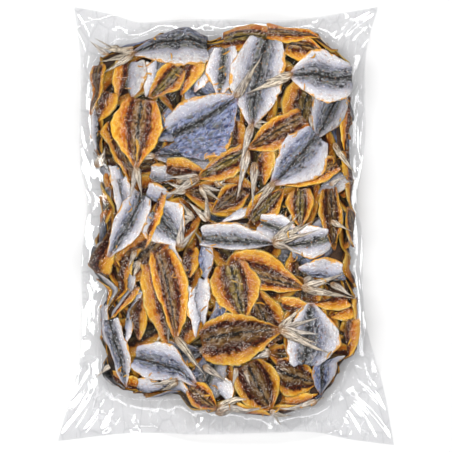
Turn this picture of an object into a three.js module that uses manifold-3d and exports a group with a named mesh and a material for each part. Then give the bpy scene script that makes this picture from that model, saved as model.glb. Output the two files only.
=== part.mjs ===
// A clear vacuum pouch packed with dried, butterflied scad, lying flat on its back.
// Millimetres, +Z up, +Y towards the top edge of the pouch. The origin is under the middle
// of the pouch, on the surface that it lies on.

import * as THREE from 'three';
import { mergeVertices } from 'three/addons/utils/BufferGeometryUtils.js';
import Module from 'manifold-3d';

const wasm = await Module();
wasm.setup();

// The packed heap: a flat field with rounded corners, and a round wall all the way about it.
const HEAP = {
  centre: [-1, 5],
  halfWidth: 84, // of the flat field, without the round wall
  halfLength: 127,
  cornerRadius: 16,
  wallRadius: 11,
  dome: 2.5, // how much higher the middle of the field is
  underside: 2.4, // how far the lowest fish reach below the core
};
const MIDDLE_Z = HEAP.underside + HEAP.wallRadius;

// The pouch: a flat 250 by 350 pouch, drawn in round the heap.
const FILM = {
  thickness: 0.8, // both films sealed together, with their folds
  tuck: 5, // how far the margin runs into the heap
  rings: 2,
  restZ: 1.6, // height of the sealed edge above the surface
  foldHeight: 2.4,
};

// Each side of the pouch runs from corner to corner, clockwise from the top left.
const POUCH_SIDES = [
  { steps: 16, points: [[-113, 163], [-87, 158], [-64, 151], [-42, 152], [0, 153], [45, 152], [84, 158], [113, 163]] },
  { steps: 20, points: [[113, 163], [104, 128], [103, 60], [97, 16], [101, -5], [103, -68], [117, -120], [125, -163]] },
  { steps: 16, points: [[125, -163], [94, -159], [62, -153], [20, -154], [-20, -155], [-70, -154], [-125, -160]] },
  { steps: 20, points: [[-125, -160], [-108, -95], [-107, -25], [-103, 18], [-108, 47], [-108, 124], [-113, 163]] },
];

// One fish: its thickness and where it is widest, as shares of its length.
const FISH = {
  thickness: 4.2,
  widestAt: 0.38,
  neckWidth: 0.74, // of the widest
  tailWidth: 0.09,
  sink: 1.2, // how far its edges press into what lies below
  lobeThickness: 1.1,
  lobeWidth: 5,
};
const SKIN = 0; // the skin side shows: the fish is domed
const FLESH = 1; // the flesh side shows: the fish is cupped, with a thick rim

// The fish that show: side, layer (the highest lies on top), neck x and y, tail x and y, the
// half widths left and right of the line from neck to tail, and the tips of the tail's lobes.
const SHOWN = [
  // top of the pouch
  [SKIN, 0, -38, 121, -56, 105, 7, 7],
  [FLESH, 1, 43, 130, 74, 127, 7, 10],
  [SKIN, 1, -6, 132, -23, 98, 7, 7],
  [SKIN, 1, -54, 120, -58, 95, 5, 6],
  [SKIN, 1, -64, 123, -67, 95, 7, 7],
  [FLESH, 1, -80, 99, -90, 77, 7, 7],
  [FLESH, 2, -3, 138, 42, 133, 13, 12],
  [FLESH, 2, 30, 138, 70, 140, 10, 9, [[78, 133]]],
  [SKIN, 2, -1, 132, -5, 95, 13, 13],
  [FLESH, 2, -73, 126, -76, 95, 5, 6],
  [FLESH, 2, -91, 123, -95, 82, 9, 10],
  [SKIN, 3, 30, 133, 19, 73, 20, 22, [[9, 41]]],
  [FLESH, 3, -19, 126, -33, 96, 7, 7],
  [FLESH, 3, -33, 115, -56, 94, 9, 10],
  [SKIN, 4, -13, 135, -68, 130, 19, 13, [[-93, 124], [-84, 114], [-80, 135]]],
  [SKIN, 4, 93, 111, 47, 109, 20, 20, [[13, 95], [28, 105]]],
  // upper middle
  [FLESH, 1, 30, 58, 28, 30, 7, 7],
  [SKIN, 1, -56, 40, -37, 37, 7, 7],
  [SKIN, 1, -59, 27, -40, 22, 7, 7],
  [FLESH, 1, -44, 44, -16, 40, 8, 7],
  [FLESH, 1, 92, 95, 93, 56, 5, 7],
  [FLESH, 1, 93, 56, 93, 16, 5, 7],
  [SKIN, 1, 89, 36, 68, 24, 8, 8],
  [SKIN, 1, -95, 90, -95, 55, 5, 6],
  [FLESH, 2, -78, 78, -73, 33, 11, 11],
  [SKIN, 2, 83, 99, 67, 65, 13, 15],
  [FLESH, 2, 83, 47, 41, 31, 10, 9],
  [FLESH, 3, 57, 81, 16, 57, 15, 10],
  [FLESH, 3, 15, 55, -21, 35, 13, 7, [[-43, 36], [-45, 19]]],
  [SKIN, 4, -41, 66, 8, 95, 18, 30, [[28, 121], [19, 114]]],
  [FLESH, 4, -61, 94, -68, 42, 21, 19, [[-73, 17], [-62, 20]]],
  [SKIN, 4, 67, 68, 34, 31, 22, 16, [[22, 24], [19, 11]]],
  // middle
  [SKIN, 1, -86, 45, -82, 8, 6, 7],
  [SKIN, 1, -80, 36, -73, 4, 6, 6],
  [FLESH, 1, 13, 27, -10, 10, 10, 10],
  [FLESH, 1, 55, 28, 55, -1, 10, 10],
  [FLESH, 1, -25, -16, -27, -38, 7, 7],
  [SKIN, 1, -14, -15, -15, -40, 6, 6],
  [SKIN, 1, 19, 12, -3, 3, 4, 4],
  [FLESH, 2, -91, -35, -79, 12, 8, 9],
  [SKIN, 2, -54, 13, -33, -12, 18, 18],
  [FLESH, 2, 18, 3, 42, 27, 11, 11],
  [FLESH, 2, 78, 28, 81, -18, 7, 10],
  [SKIN, 2, 77, -9, 43, -15, 13, 13],
  [SKIN, 2, 88, -34, 53, -31, 8, 9],
  [SKIN, 3, -63, 24, -84, -23, 13, 13],
  [FLESH, 3, -45, 24, -59, -16, 4, 4],
  [SKIN, 3, 24, 3, 55, -7, 10, 11],
  [SKIN, 4, -19, -10, 36, -13, 15, 7, [[54, 10], [58, 3], [65, 4], [68, -5], [55, -18]]],
  // lower middle
  [SKIN, 1, -40, -13, -27, -49, 4, 4],
  [FLESH, 1, 93, -61, 74, -67, 7, 7],
  [FLESH, 1, 96, -53, 96, -101, 5, 7],
  [FLESH, 1, 89, -68, 87, -101, 7, 7],
  [SKIN, 2, -25, -44, -22, -82, 5, 6],
  [SKIN, 2, -17, -38, -16, -73, 6, 6],
  [FLESH, 2, -64, -16, -91, -64, 4, 4],
  [SKIN, 2, -69, -36, -86, -68, 4, 4],
  [FLESH, 2, -67, -44, -84, -68, 4, 4],
  [SKIN, 2, -64, -47, -75, -88, 4, 4],
  [FLESH, 2, -62, -53, -64, -84, 7, 7],
  [FLESH, 2, 40, -56, 61, -59, 6, 6],
  [FLESH, 2, 87, -55, 62, -57, 6, 5],
  [FLESH, 3, -58, -27, -43, -88, 7, 8],
  [SKIN, 3, 57, -101, 61, -56, 16, 24],
  [FLESH, 4, 1, -31, 57, -46, 18, 10, [[87, -35], [93, -55]]],
  [FLESH, 4, 3, -27, 13, -68, 18, 19],
  [FLESH, 4, -19, -84, 41, -76, 15, 22, [[56, -57], [68, -67], [70, -79], [68, -85], [75, -94]]],
  [FLESH, 4, -50, -18, -37, -83, 16, 9, [[-23, -103], [-17, -110]]],
  // bottom of the pouch
  [FLESH, 1, 43, -123, 71, -126, 7, 7],
  [FLESH, 1, -90, -115, -78, -123, 7, 7],
  [FLESH, 1, -77, -120, -62, -123, 7, 7],
  [SKIN, 1, -67, -121, -45, -124, 7, 6],
  [SKIN, 1, -46, -120, -25, -124, 7, 6],
  [FLESH, 1, 7, -130, 34, -136, 7, 7],
  [FLESH, 1, 37, -130, 64, -132, 6, 6],
  [SKIN, 1, -4, -112, 4, -127, 7, 6],
  [SKIN, 2, -93, -58, -92, -88, 5, 5],
  [FLESH, 2, 36, -101, 70, -115, 13, 13],
  [SKIN, 2, 71, -98, 75, -129, 18, 7],
  [FLESH, 2, -27, -118, -7, -130, 10, 9],
  [SKIN, 3, -87, -68, -77, -125, 10, 10],
  [SKIN, 3, -69, -98, -22, -115, 19, 15],
  [FLESH, 3, 15, -99, 33, -129, 17, 17, [[42, -140], [48, -135]]],
];

// Fins and tail lobes whose own fish is hidden: root x and y, tip x and y.
const LOOSE_LOBES = [
  [-86, 132, -102, 144], [-78, 138, -97, 145], [-67, 134, -93, 139],
  [16, 56, 10, 17], [21, 47, 20, 13],
  [-13, 4, -29, 18], [-13, 4, -16, 24],
  [-19, 29, -1, 25], [-19, 29, -4, 17], [-19, 29, -12, 14],
  [-34, -16, -33, 10], [-34, -16, -21, -1],
  [-6, -130, 18, -121], [-8, -132, 31, -124], [8, -103, 4, -118], [14, -103, 18, -113],
  [-92, -105, -104, -122], [67, -130, 79, -132], [-96, 43, -87, 59],
];

// The fish that nobody placed by eye: those behind the wall and on the underside.
const WALL_FISH = { perCorner: 2, length: 52, halfWidth: 15, scatter: 6 };
const UNDER_FISH = { columns: 4, rows: 6, length: 54, halfWidth: 17 };

// How many of each kind stand out of the heap as bodies of their own, the largest first.
const FUSED = { wall: 12, shown: 64, under: 16, lobes: 18 };

// ---------------------------------------------------------------- small helpers

const clamp = (x, low, high) => Math.min(Math.max(x, low), high);
const mix = (a, b, share) => a + (b - a) * share;
const ease = (x) => x * x * (3 - 2 * x);

/** The same run of draws between 0 and 1 every time. */
function seededDraw(seed) {
  let state = seed;
  return () => {
    state = (Math.imul(state, 1664525) + 1013904223) >>> 0;
    return state / 2 ** 32;
  };
}
const draw = seededDraw(20);

// ---------------------------------------------------------------- the round wall

/** The nearest place of the flat field's edge, the way out from it, and how far out the point is. */
function fromField(u, v) {
  const straightU = HEAP.halfWidth - HEAP.cornerRadius;
  const straightV = HEAP.halfLength - HEAP.cornerRadius;
  const du = u - HEAP.centre[0];
  const dv = v - HEAP.centre[1];
  const innerU = clamp(du, -straightU, straightU);
  const innerV = clamp(dv, -straightV, straightV);
  const reach = Math.hypot(du - innerU, dv - innerV);
  const outU = reach > 0 ? (du - innerU) / reach : 0;
  const outV = reach > 0 ? (dv - innerV) / reach : 0;
  return { innerU, innerV, outU, outV, beyond: reach - HEAP.cornerRadius };
}

/** Lays a point of the unrolled heap, at height w over its core, on the real heap. */
function onHeap(u, v, w, facing = 1) {
  const { innerU, innerV, outU, outV, beyond } = fromField(u, v);
  const along = clamp(beyond, -HEAP.cornerRadius, 0) + HEAP.cornerRadius;
  const turn = Math.max(beyond, 0) / HEAP.wallRadius;
  const past = Math.max(turn - Math.PI, 0) * HEAP.wallRadius;
  const angle = Math.min(turn, Math.PI);
  const radius = HEAP.wallRadius + w;
  const out = along + radius * Math.sin(angle) - past;
  const domeU = 1 - ((u - HEAP.centre[0]) / HEAP.halfWidth) ** 2;
  const domeV = 1 - ((v - HEAP.centre[1]) / HEAP.halfLength) ** 2;
  const lift = facing > 0 ? HEAP.dome * Math.max(domeU, 0) * Math.max(domeV, 0) : 0;
  return [
    HEAP.centre[0] + innerU + outU * out,
    HEAP.centre[1] + innerV + outV * out,
    MIDDLE_Z + facing * (radius * Math.cos(angle) + lift),
  ];
}

// ---------------------------------------------------------------- heights over the core

const CELL = 3;
const REACH = [124, 166]; // half size of the unrolled heap
const COLUMNS = Math.ceil((2 * REACH[0]) / CELL);
const ROWS = Math.ceil((2 * REACH[1]) / CELL);

/** Heights on a grid over the unrolled heap, which the fish raise one by one. */
class Relief {
  constructor(heights = new Float64Array(COLUMNS * ROWS)) {
    this.heights = heights;
  }

  at(u, v) {
    const x = clamp((u + REACH[0]) / CELL, 0, COLUMNS - 1.001);
    const y = clamp((v + REACH[1]) / CELL, 0, ROWS - 1.001);
    const i = Math.floor(x);
    const j = Math.floor(y);
    const row = j * COLUMNS + i;
    const low = mix(this.heights[row], this.heights[row + 1], x - i);
    const high = mix(this.heights[row + COLUMNS], this.heights[row + COLUMNS + 1], x - i);
    return mix(low, high, y - j);
  }

  /** The heights as a stiff fish feels them: evened out over `cells` each way. */
  evened(cells) {
    const once = (from, stepU, stepV) => {
      const to = new Float64Array(from.length);
      for (let j = 0; j < ROWS; j += 1) {
        for (let i = 0; i < COLUMNS; i += 1) {
          let sum = 0;
          for (let k = -cells; k <= cells; k += 1) {
            const ii = clamp(i + k * stepU, 0, COLUMNS - 1);
            const jj = clamp(j + k * stepV, 0, ROWS - 1);
            sum += from[jj * COLUMNS + ii];
          }
          to[j * COLUMNS + i] = sum / (2 * cells + 1);
        }
      }
      return to;
    };
    return new Relief(once(once(this.heights, 1, 0), 0, 1));
  }

  raise(fish, base) {
    const { length } = fish;
    const reach = length / 2 + Math.max(fish.left, fish.right);
    const middle = fish.place(0.5, 0);
    for (let j = 0; j < ROWS; j += 1) {
      for (let i = 0; i < COLUMNS; i += 1) {
        const u = i * CELL - REACH[0];
        const v = j * CELL - REACH[1];
        if (Math.hypot(u - middle[0], v - middle[1]) > reach) continue;
        const [s, t] = fish.locate(u, v);
        if (s < 0 || s > 1 || Math.abs(t) > 1) continue;
        const cell = j * COLUMNS + i;
        const top = base.at(u, v) + fish.rise(s, t);
        this.heights[cell] = Math.max(this.heights[cell], top);
      }
    }
  }
}

// ---------------------------------------------------------------- one fish

/** Width along a butterflied fish, as a share of its widest, from the cut neck to the tail. */
function widthAt(s) {
  if (s < FISH.widestAt) {
    return mix(FISH.neckWidth, 1, Math.sin((Math.PI / 2) * (s / FISH.widestAt)));
  }
  return mix(1, FISH.tailWidth, ((s - FISH.widestAt) / (1 - FISH.widestAt)) ** 1.15);
}

class Fish {
  constructor([side, layer, neckX, neckY, tailX, tailY, left, right, lobes = []]) {
    this.side = side;
    this.layer = layer;
    this.neck = [neckX, neckY];
    this.length = Math.hypot(tailX - neckX, tailY - neckY);
    this.ahead = [(tailX - neckX) / this.length, (tailY - neckY) / this.length];
    this.left = left;
    this.right = right;
    this.lobes = lobes;
    this.area = this.length * (left + right);
  }

  /** The place at share s of the length and share t of the half width, left being positive. */
  place(s, t) {
    const half = (t > 0 ? this.left : this.right) * widthAt(clamp(s, 0, 1));
    return [
      this.neck[0] + this.ahead[0] * s * this.length - this.ahead[1] * t * half,
      this.neck[1] + this.ahead[1] * s * this.length + this.ahead[0] * t * half,
    ];
  }

  /** The shares s and t of a place: the reverse of place. */
  locate(u, v) {
    const du = u - this.neck[0];
    const dv = v - this.neck[1];
    const s = (du * this.ahead[0] + dv * this.ahead[1]) / this.length;
    const across = dv * this.ahead[0] - du * this.ahead[1];
    const half = (across > 0 ? this.left : this.right) * widthAt(clamp(s, 0, 1));
    return [s, across / half];
  }

  /** Height of the upper face over what the fish lies on. */
  rise(s, t) {
    const taper = mix(1, 0.55, ease(clamp(s, 0, 1)));
    const domed = 0.3 + 0.75 * (1 - t * t);
    const cupped = 0.5 + 0.55 * t * t;
    return FISH.thickness * taper * (this.side === SKIN ? domed : cupped);
  }
}

/** A closed body from rings of points, each ring a list of the same length. */
function bodyFromRings(rings, closed = false) {
  const count = rings[0].length;
  const positions = rings.flat(2);
  const faces = [];
  const last = closed ? rings.length : rings.length - 1;
  for (let r = 0; r < last; r += 1) {
    const next = (r + 1) % rings.length;
    for (let k = 0; k < count; k += 1) {
      const a = r * count + k;
      const b = r * count + ((k + 1) % count);
      const c = next * count + k;
      const d = next * count + ((k + 1) % count);
      faces.push(a, b, d, a, d, c);
    }
  }
  if (!closed) {
    const end = (rings.length - 1) * count;
    for (let k = 1; k < count - 1; k += 1) {
      faces.push(0, k + 1, k, end, end + k, end + k + 1);
    }
  }
  return solidFrom(positions, faces);
}

/** A closed manifold body, turned so that its faces point out. */
function solidFrom(positions, faces) {
  const geometry = new THREE.BufferGeometry();
  geometry.setAttribute('position', new THREE.Float32BufferAttribute(positions, 3));
  geometry.setIndex(faces);
  const body = solidOf(geometry);
  if (body.volume() > 0) return body;
  const turned = faces.map((_, k) => faces[k - (k % 3) + (2 - (k % 3))]);
  geometry.setIndex(turned);
  return solidOf(geometry);
}

function solidOf(geometry) {
  const bare = geometry.clone();
  bare.deleteAttribute('normal');
  bare.deleteAttribute('uv');
  const merged = mergeVertices(bare);
  const mesh = new wasm.Mesh({
    numProp: 3,
    vertProperties: Float32Array.from(merged.attributes.position.array),
    triVerts: Uint32Array.from(merged.index.array),
  });
  return new wasm.Manifold(mesh);
}

const STATIONS = [0, 0.33, 0.72, 1]; // along the fish, from the cut neck
const SHOULDER = 0.5; // across a skin side, where the dome turns down
const RIM = 0.88; // across a flesh side, where the rim stands highest

function fishBody(fish, base, facing) {
  const rings = STATIONS.map((s) => {
    const at = (t, height) => {
      const [u, v] = fish.place(s, t);
      return onHeap(u, v, base.at(u, v) + height, facing);
    };
    const bend = fish.side === SKIN ? SHOULDER : RIM;
    const edge = -FISH.sink;
    const ring = [at(1, edge), at(bend, fish.rise(s, bend)), at(-bend, fish.rise(s, -bend)), at(-1, edge)];
    const keel = fish.side === SKIN ? at(0, -2 * FISH.sink) : at(0, fish.rise(s, 0));
    const place = fish.side === SKIN ? 4 : 2;
    ring.splice(place, 0, keel);
    return ring;
  });
  return bodyFromRings(rings);
}

/** One lobe of a tail: a thin wedge, from a narrow root to a wide flat tip. */
function lobeBody(root, tip, base) {
  const length = Math.hypot(tip[0] - root[0], tip[1] - root[1]);
  const side = [-(tip[1] - root[1]) / length, (tip[0] - root[0]) / length];
  const rings = [[root, 0.4], [tip, 1]].map(([end, share]) => {
    const half = (FISH.lobeWidth / 2) * share;
    const corner = (way, height) => {
      const u = end[0] + side[0] * half * way;
      const v = end[1] + side[1] * half * way;
      return onHeap(u, v, base.at(u, v) + height);
    };
    const top = FISH.lobeThickness;
    return [corner(-1, top), corner(1, top), corner(0, -FISH.sink)];
  });
  return bodyFromRings(rings);
}

// ---------------------------------------------------------------- the heap

/** Places round the flat field's edge with their ways out, more of them in the corners. */
function fieldEdge(perCorner) {
  const straightU = HEAP.halfWidth - HEAP.cornerRadius;
  const straightV = HEAP.halfLength - HEAP.cornerRadius;
  const corners = [[1, 1], [-1, 1], [-1, -1], [1, -1]];
  return corners.flatMap(([wayU, wayV], corner) => {
    const arc = [];
    for (let k = 0; k <= perCorner; k += 1) {
      const angle = (Math.PI / 2) * (corner + k / perCorner);
      const out = [Math.cos(angle), Math.sin(angle)];
      const u = HEAP.centre[0] + wayU * straightU + out[0] * HEAP.cornerRadius;
      const v = HEAP.centre[1] + wayV * straightV + out[1] * HEAP.cornerRadius;
      arc.push({ u, v, out });
    }
    return arc;
  });
}

/** The plain core under the fish that show. */
function coreBody() {
  const turns = [0, 0.25, 0.5, 0.75, 1].map((share) => Math.PI * share);
  const middle = (z) => [HEAP.centre[0], HEAP.centre[1], z];
  const rings = fieldEdge(4).map(({ u, v, out }) => {
    const wall = turns.map((turn) => {
      const bulge = HEAP.wallRadius * Math.sin(turn);
      return [u + out[0] * bulge, v + out[1] * bulge, MIDDLE_Z + HEAP.wallRadius * Math.cos(turn)];
    });
    return [middle(MIDDLE_Z + HEAP.wallRadius + HEAP.dome), ...wall, middle(HEAP.underside)];
  });
  return bodyFromRings(rings, true);
}

/** Fish round the wall, tails turned one way and the other. */
function wallFish() {
  const middle = (HEAP.wallRadius * Math.PI) / 2;
  return fieldEdge(WALL_FISH.perCorner).map((place, k, places) => {
    const next = places[(k + 1) % places.length];
    const along = 0.5 * draw();
    const u = mix(place.u, next.u, along);
    const v = mix(place.v, next.v, along);
    const way = draw() < 0.5 ? 1 : -1;
    const lean = 0.5 * (draw() - 0.5);
    const [outU, outV] = place.out;
    const ahead = [-outV * way + outU * lean, outU * way + outV * lean];
    const out = middle + WALL_FISH.scatter * (draw() - 0.5);
    const spot = (far) => [u + outU * out + ahead[0] * far, v + outV * out + ahead[1] * far];
    const width = WALL_FISH.halfWidth * mix(0.8, 1.1, draw());
    const side = draw() < 0.5 ? SKIN : FLESH;
    const [neck, tail] = [spot(-WALL_FISH.length / 2), spot(WALL_FISH.length / 2)];
    return new Fish([side, 0, ...neck, ...tail, width, width]);
  });
}

/** Fish on the underside, pressed flat by the surface. */
function underFish() {
  const list = [];
  for (let row = 0; row < UNDER_FISH.rows; row += 1) {
    for (let column = 0; column < UNDER_FISH.columns; column += 1) {
      const shareU = (column + 0.5) / UNDER_FISH.columns - 0.5 + 0.06 * (draw() - 0.5);
      const shareV = (row + 0.5) / UNDER_FISH.rows - 0.5 + 0.04 * (draw() - 0.5);
      const angle = 2 * Math.PI * draw();
      const half = [Math.cos(angle), Math.sin(angle)].map((way) => (way * UNDER_FISH.length) / 2);
      const u = HEAP.centre[0] + shareU * 2 * HEAP.halfWidth;
      const v = HEAP.centre[1] + shareV * 2 * HEAP.halfLength;
      const width = UNDER_FISH.halfWidth * mix(0.85, 1.1, draw());
      const side = draw() < 0.5 ? SKIN : FLESH;
      list.push(new Fish([side, 0, u - half[0], v - half[1], u + half[0], v + half[1], width, width]));
    }
  }
  return list;
}

/** The first `count` of the sizes, the largest first: the least size among them. */
function leastKept(sizes, count) {
  return [...sizes].sort((a, b) => b - a)[Math.min(count, sizes.length) - 1];
}

/** Lays the fish one on the next, and gives back the bodies of the largest. */
function layFish(list, relief, facing, count) {
  const least = leastKept(list.map((fish) => fish.area), count);
  const bodies = [];
  for (const fish of list) {
    const base = relief.evened(2);
    if (fish.area >= least) bodies.push(fishBody(fish, base, facing));
    relief.raise(fish, base);
  }
  return bodies;
}

/** The longest of the tail lobes and fins, over the heap as it lies. */
function tailLobes(shown, relief) {
  const own = shown.flatMap((fish) => fish.lobes.map((tip) => [fish.place(0.97, 0), tip]));
  const loose = LOOSE_LOBES.map(([rootX, rootY, tipX, tipY]) => [[rootX, rootY], [tipX, tipY]]);
  const all = [...own, ...loose];
  const reach = ([root, tip]) => Math.hypot(tip[0] - root[0], tip[1] - root[1]);
  const least = leastKept(all.map(reach), FUSED.lobes);
  return all.filter((lobe) => reach(lobe) >= least).map(([root, tip]) => lobeBody(root, tip, relief));
}

// ---------------------------------------------------------------- the film margin

/** The pouch's edge as an even run of places, corner by corner. */
function pouchEdge() {
  return POUCH_SIDES.flatMap(({ steps, points }) => {
    const spread = points.map(([x, y]) => new THREE.Vector3(x, y, 0));
    const curve = new THREE.CatmullRomCurve3(spread, false, 'centripetal');
    return curve.getSpacedPoints(steps).slice(0, steps);
  });
}

/** The sealed margin of the pouch: one thin wavy sheet from the heap's wall to the edge. */
function marginBody() {
  const edge = pouchEdge();
  const top = [];
  const bottom = [];
  edge.forEach((place, k) => {
    const { innerU, innerV, outU, outV } = fromField(place.x, place.y);
    const inside = HEAP.cornerRadius + HEAP.wallRadius - FILM.tuck;
    const start = [HEAP.centre[0] + innerU + outU * inside, HEAP.centre[1] + innerV + outV * inside];
    const fold = Math.sin(k * 2.4) + 0.6 * Math.sin(k * 1.3 + 1);
    for (let ring = 0; ring <= FILM.rings; ring += 1) {
      const share = ring / FILM.rings;
      const x = mix(start[0], place.x, share);
      const y = mix(start[1], place.y, share);
      const slope = mix(MIDDLE_Z - 3, FILM.restZ + FILM.foldHeight / 2, share ** 0.7);
      const z = slope + (FILM.foldHeight / 3.2) * fold * Math.sin(Math.PI * mix(0.15, 0.75, share));
      top.push([x, y, z + FILM.thickness / 2]);
      bottom.push([x, y, z - FILM.thickness / 2]);
    }
  });
  const span = FILM.rings + 1;
  const rings = edge.map((_, k) => [
    ...top.slice(k * span, (k + 1) * span),
    ...bottom.slice(k * span, (k + 1) * span).reverse(),
  ]);
  return bodyFromRings(rings, true);
}

// ---------------------------------------------------------------- putting it together

/** Cuts off everything below the surface that the pouch lies on. */
function trimFlat(body) {
  const deep = 40;
  const box = new THREE.BoxGeometry(400, 500, deep);
  box.translate(0, 0, -deep / 2);
  return body.subtract(solidOf(box));
}

/** The largest outer body alone: loose scraps go, and a hollow that fusing sealed is filled. */
function wholeBody(body) {
  return body.decompose().reduce((big, piece) => (piece.volume() > big.volume() ? piece : big));
}

function geometryOf(body) {
  const { vertProperties, triVerts } = body.getMesh();
  const geometry = new THREE.BufferGeometry();
  geometry.setAttribute('position', new THREE.BufferAttribute(Float32Array.from(vertProperties), 3));
  geometry.setIndex(Array.from(triVerts));
  geometry.computeVertexNormals();
  return geometry;
}

function sealedBag() {
  const top = new Relief();
  const shown = SHOWN.map((row) => new Fish(row)).sort((a, b) => a.layer - b.layer);
  const pieces = [coreBody(), marginBody()];
  pieces.push(...layFish(wallFish(), top, 1, FUSED.wall));
  pieces.push(...layFish(shown, top, 1, FUSED.shown));
  pieces.push(...layFish(underFish(), new Relief(), -1, FUSED.under));
  pieces.push(...tailLobes(shown, top.evened(1)));
  const joined = pieces.reduce((whole, piece) => whole.add(piece));
  return geometryOf(wholeBody(trimFlat(joined)));
}

// What the pouch shows as a whole: amber and olive fish flesh behind glossy film.
const fishInFilm = new THREE.MeshStandardMaterial({ color: 0x9a7a58, roughness: 0.35, metalness: 0 });

const pouch = new THREE.Group();
const bag = new THREE.Mesh(sealedBag(), fishInFilm);
bag.name = 'sealed_bag';
pouch.add(bag);

export default pouch;
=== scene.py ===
"""A clear vacuum pouch of dried, butterflied scad, lying flat on its back.

Sizes are in millimetres until a mesh is made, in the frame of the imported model: +Z up,
+Y towards the top edge of the pouch, with the origin under its middle.
"""
import math

import bpy
import numpy as np
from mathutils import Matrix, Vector


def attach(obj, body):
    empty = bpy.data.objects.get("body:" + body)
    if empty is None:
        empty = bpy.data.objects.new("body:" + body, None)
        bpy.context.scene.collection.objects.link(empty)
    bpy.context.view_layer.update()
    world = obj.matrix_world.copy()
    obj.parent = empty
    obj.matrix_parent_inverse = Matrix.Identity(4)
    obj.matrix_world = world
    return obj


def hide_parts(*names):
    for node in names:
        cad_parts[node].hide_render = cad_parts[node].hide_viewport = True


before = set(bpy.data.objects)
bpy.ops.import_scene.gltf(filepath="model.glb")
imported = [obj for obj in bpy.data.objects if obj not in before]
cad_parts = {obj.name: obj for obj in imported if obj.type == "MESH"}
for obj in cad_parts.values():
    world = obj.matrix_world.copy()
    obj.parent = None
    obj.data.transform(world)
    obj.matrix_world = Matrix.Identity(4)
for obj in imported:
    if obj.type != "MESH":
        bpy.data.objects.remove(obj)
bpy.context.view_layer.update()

MM = 0.001
BAG_NODE = "sealed_bag"

# ---------------------------------------------------------------- the heap and the pouch

CENTRE = np.array([-1.0, 5.0])     # of the heap's flat field
HALF = np.array([84.0, 127.0])     # half sizes of the flat field, without the round wall
CORNER = 16.0
WALL = 11.0                 # radius of the round wall about the field
DOME = 2.5
UNDERSIDE = 2.4
OVERHANG = 0.93             # share of the wall's radius beyond which a fin sticks straight out
FIN_SINK = 0.35             # how far a fin sinks for each millimetre that it sticks out past the wall
MIDDLE_Z = UNDERSIDE + WALL
PRESSED_ABOVE = 6.0         # height over the core above which the film presses the fish flatter
PRESS = 0.55                # by this share of what lies higher
SQUEEZE = 0.2               # share of its depth that the film presses out of the heap at the wall
LOWEST = 0.12               # no point of the heap lies lower

POUCH_SIDES = [  # clockwise from the top left corner
    [(-113, 163), (-87, 158), (-64, 151), (-42, 152), (0, 153), (45, 152), (84, 158), (113, 163)],
    [(113, 163), (104, 128), (103, 60), (97, 16), (101, -5), (103, -68), (117, -120), (125, -163)],
    [(125, -163), (94, -159), (62, -153), (20, -154), (-20, -155), (-70, -154), (-125, -160)],
    [(-125, -160), (-108, -95), (-107, -25), (-103, 18), (-108, 47), (-108, 124), (-113, 163)],
]

SKIN = 0    # the skin side shows: the fish is domed
FLESH = 1   # the flesh side shows: the fish is cupped, with a thick rim

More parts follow.
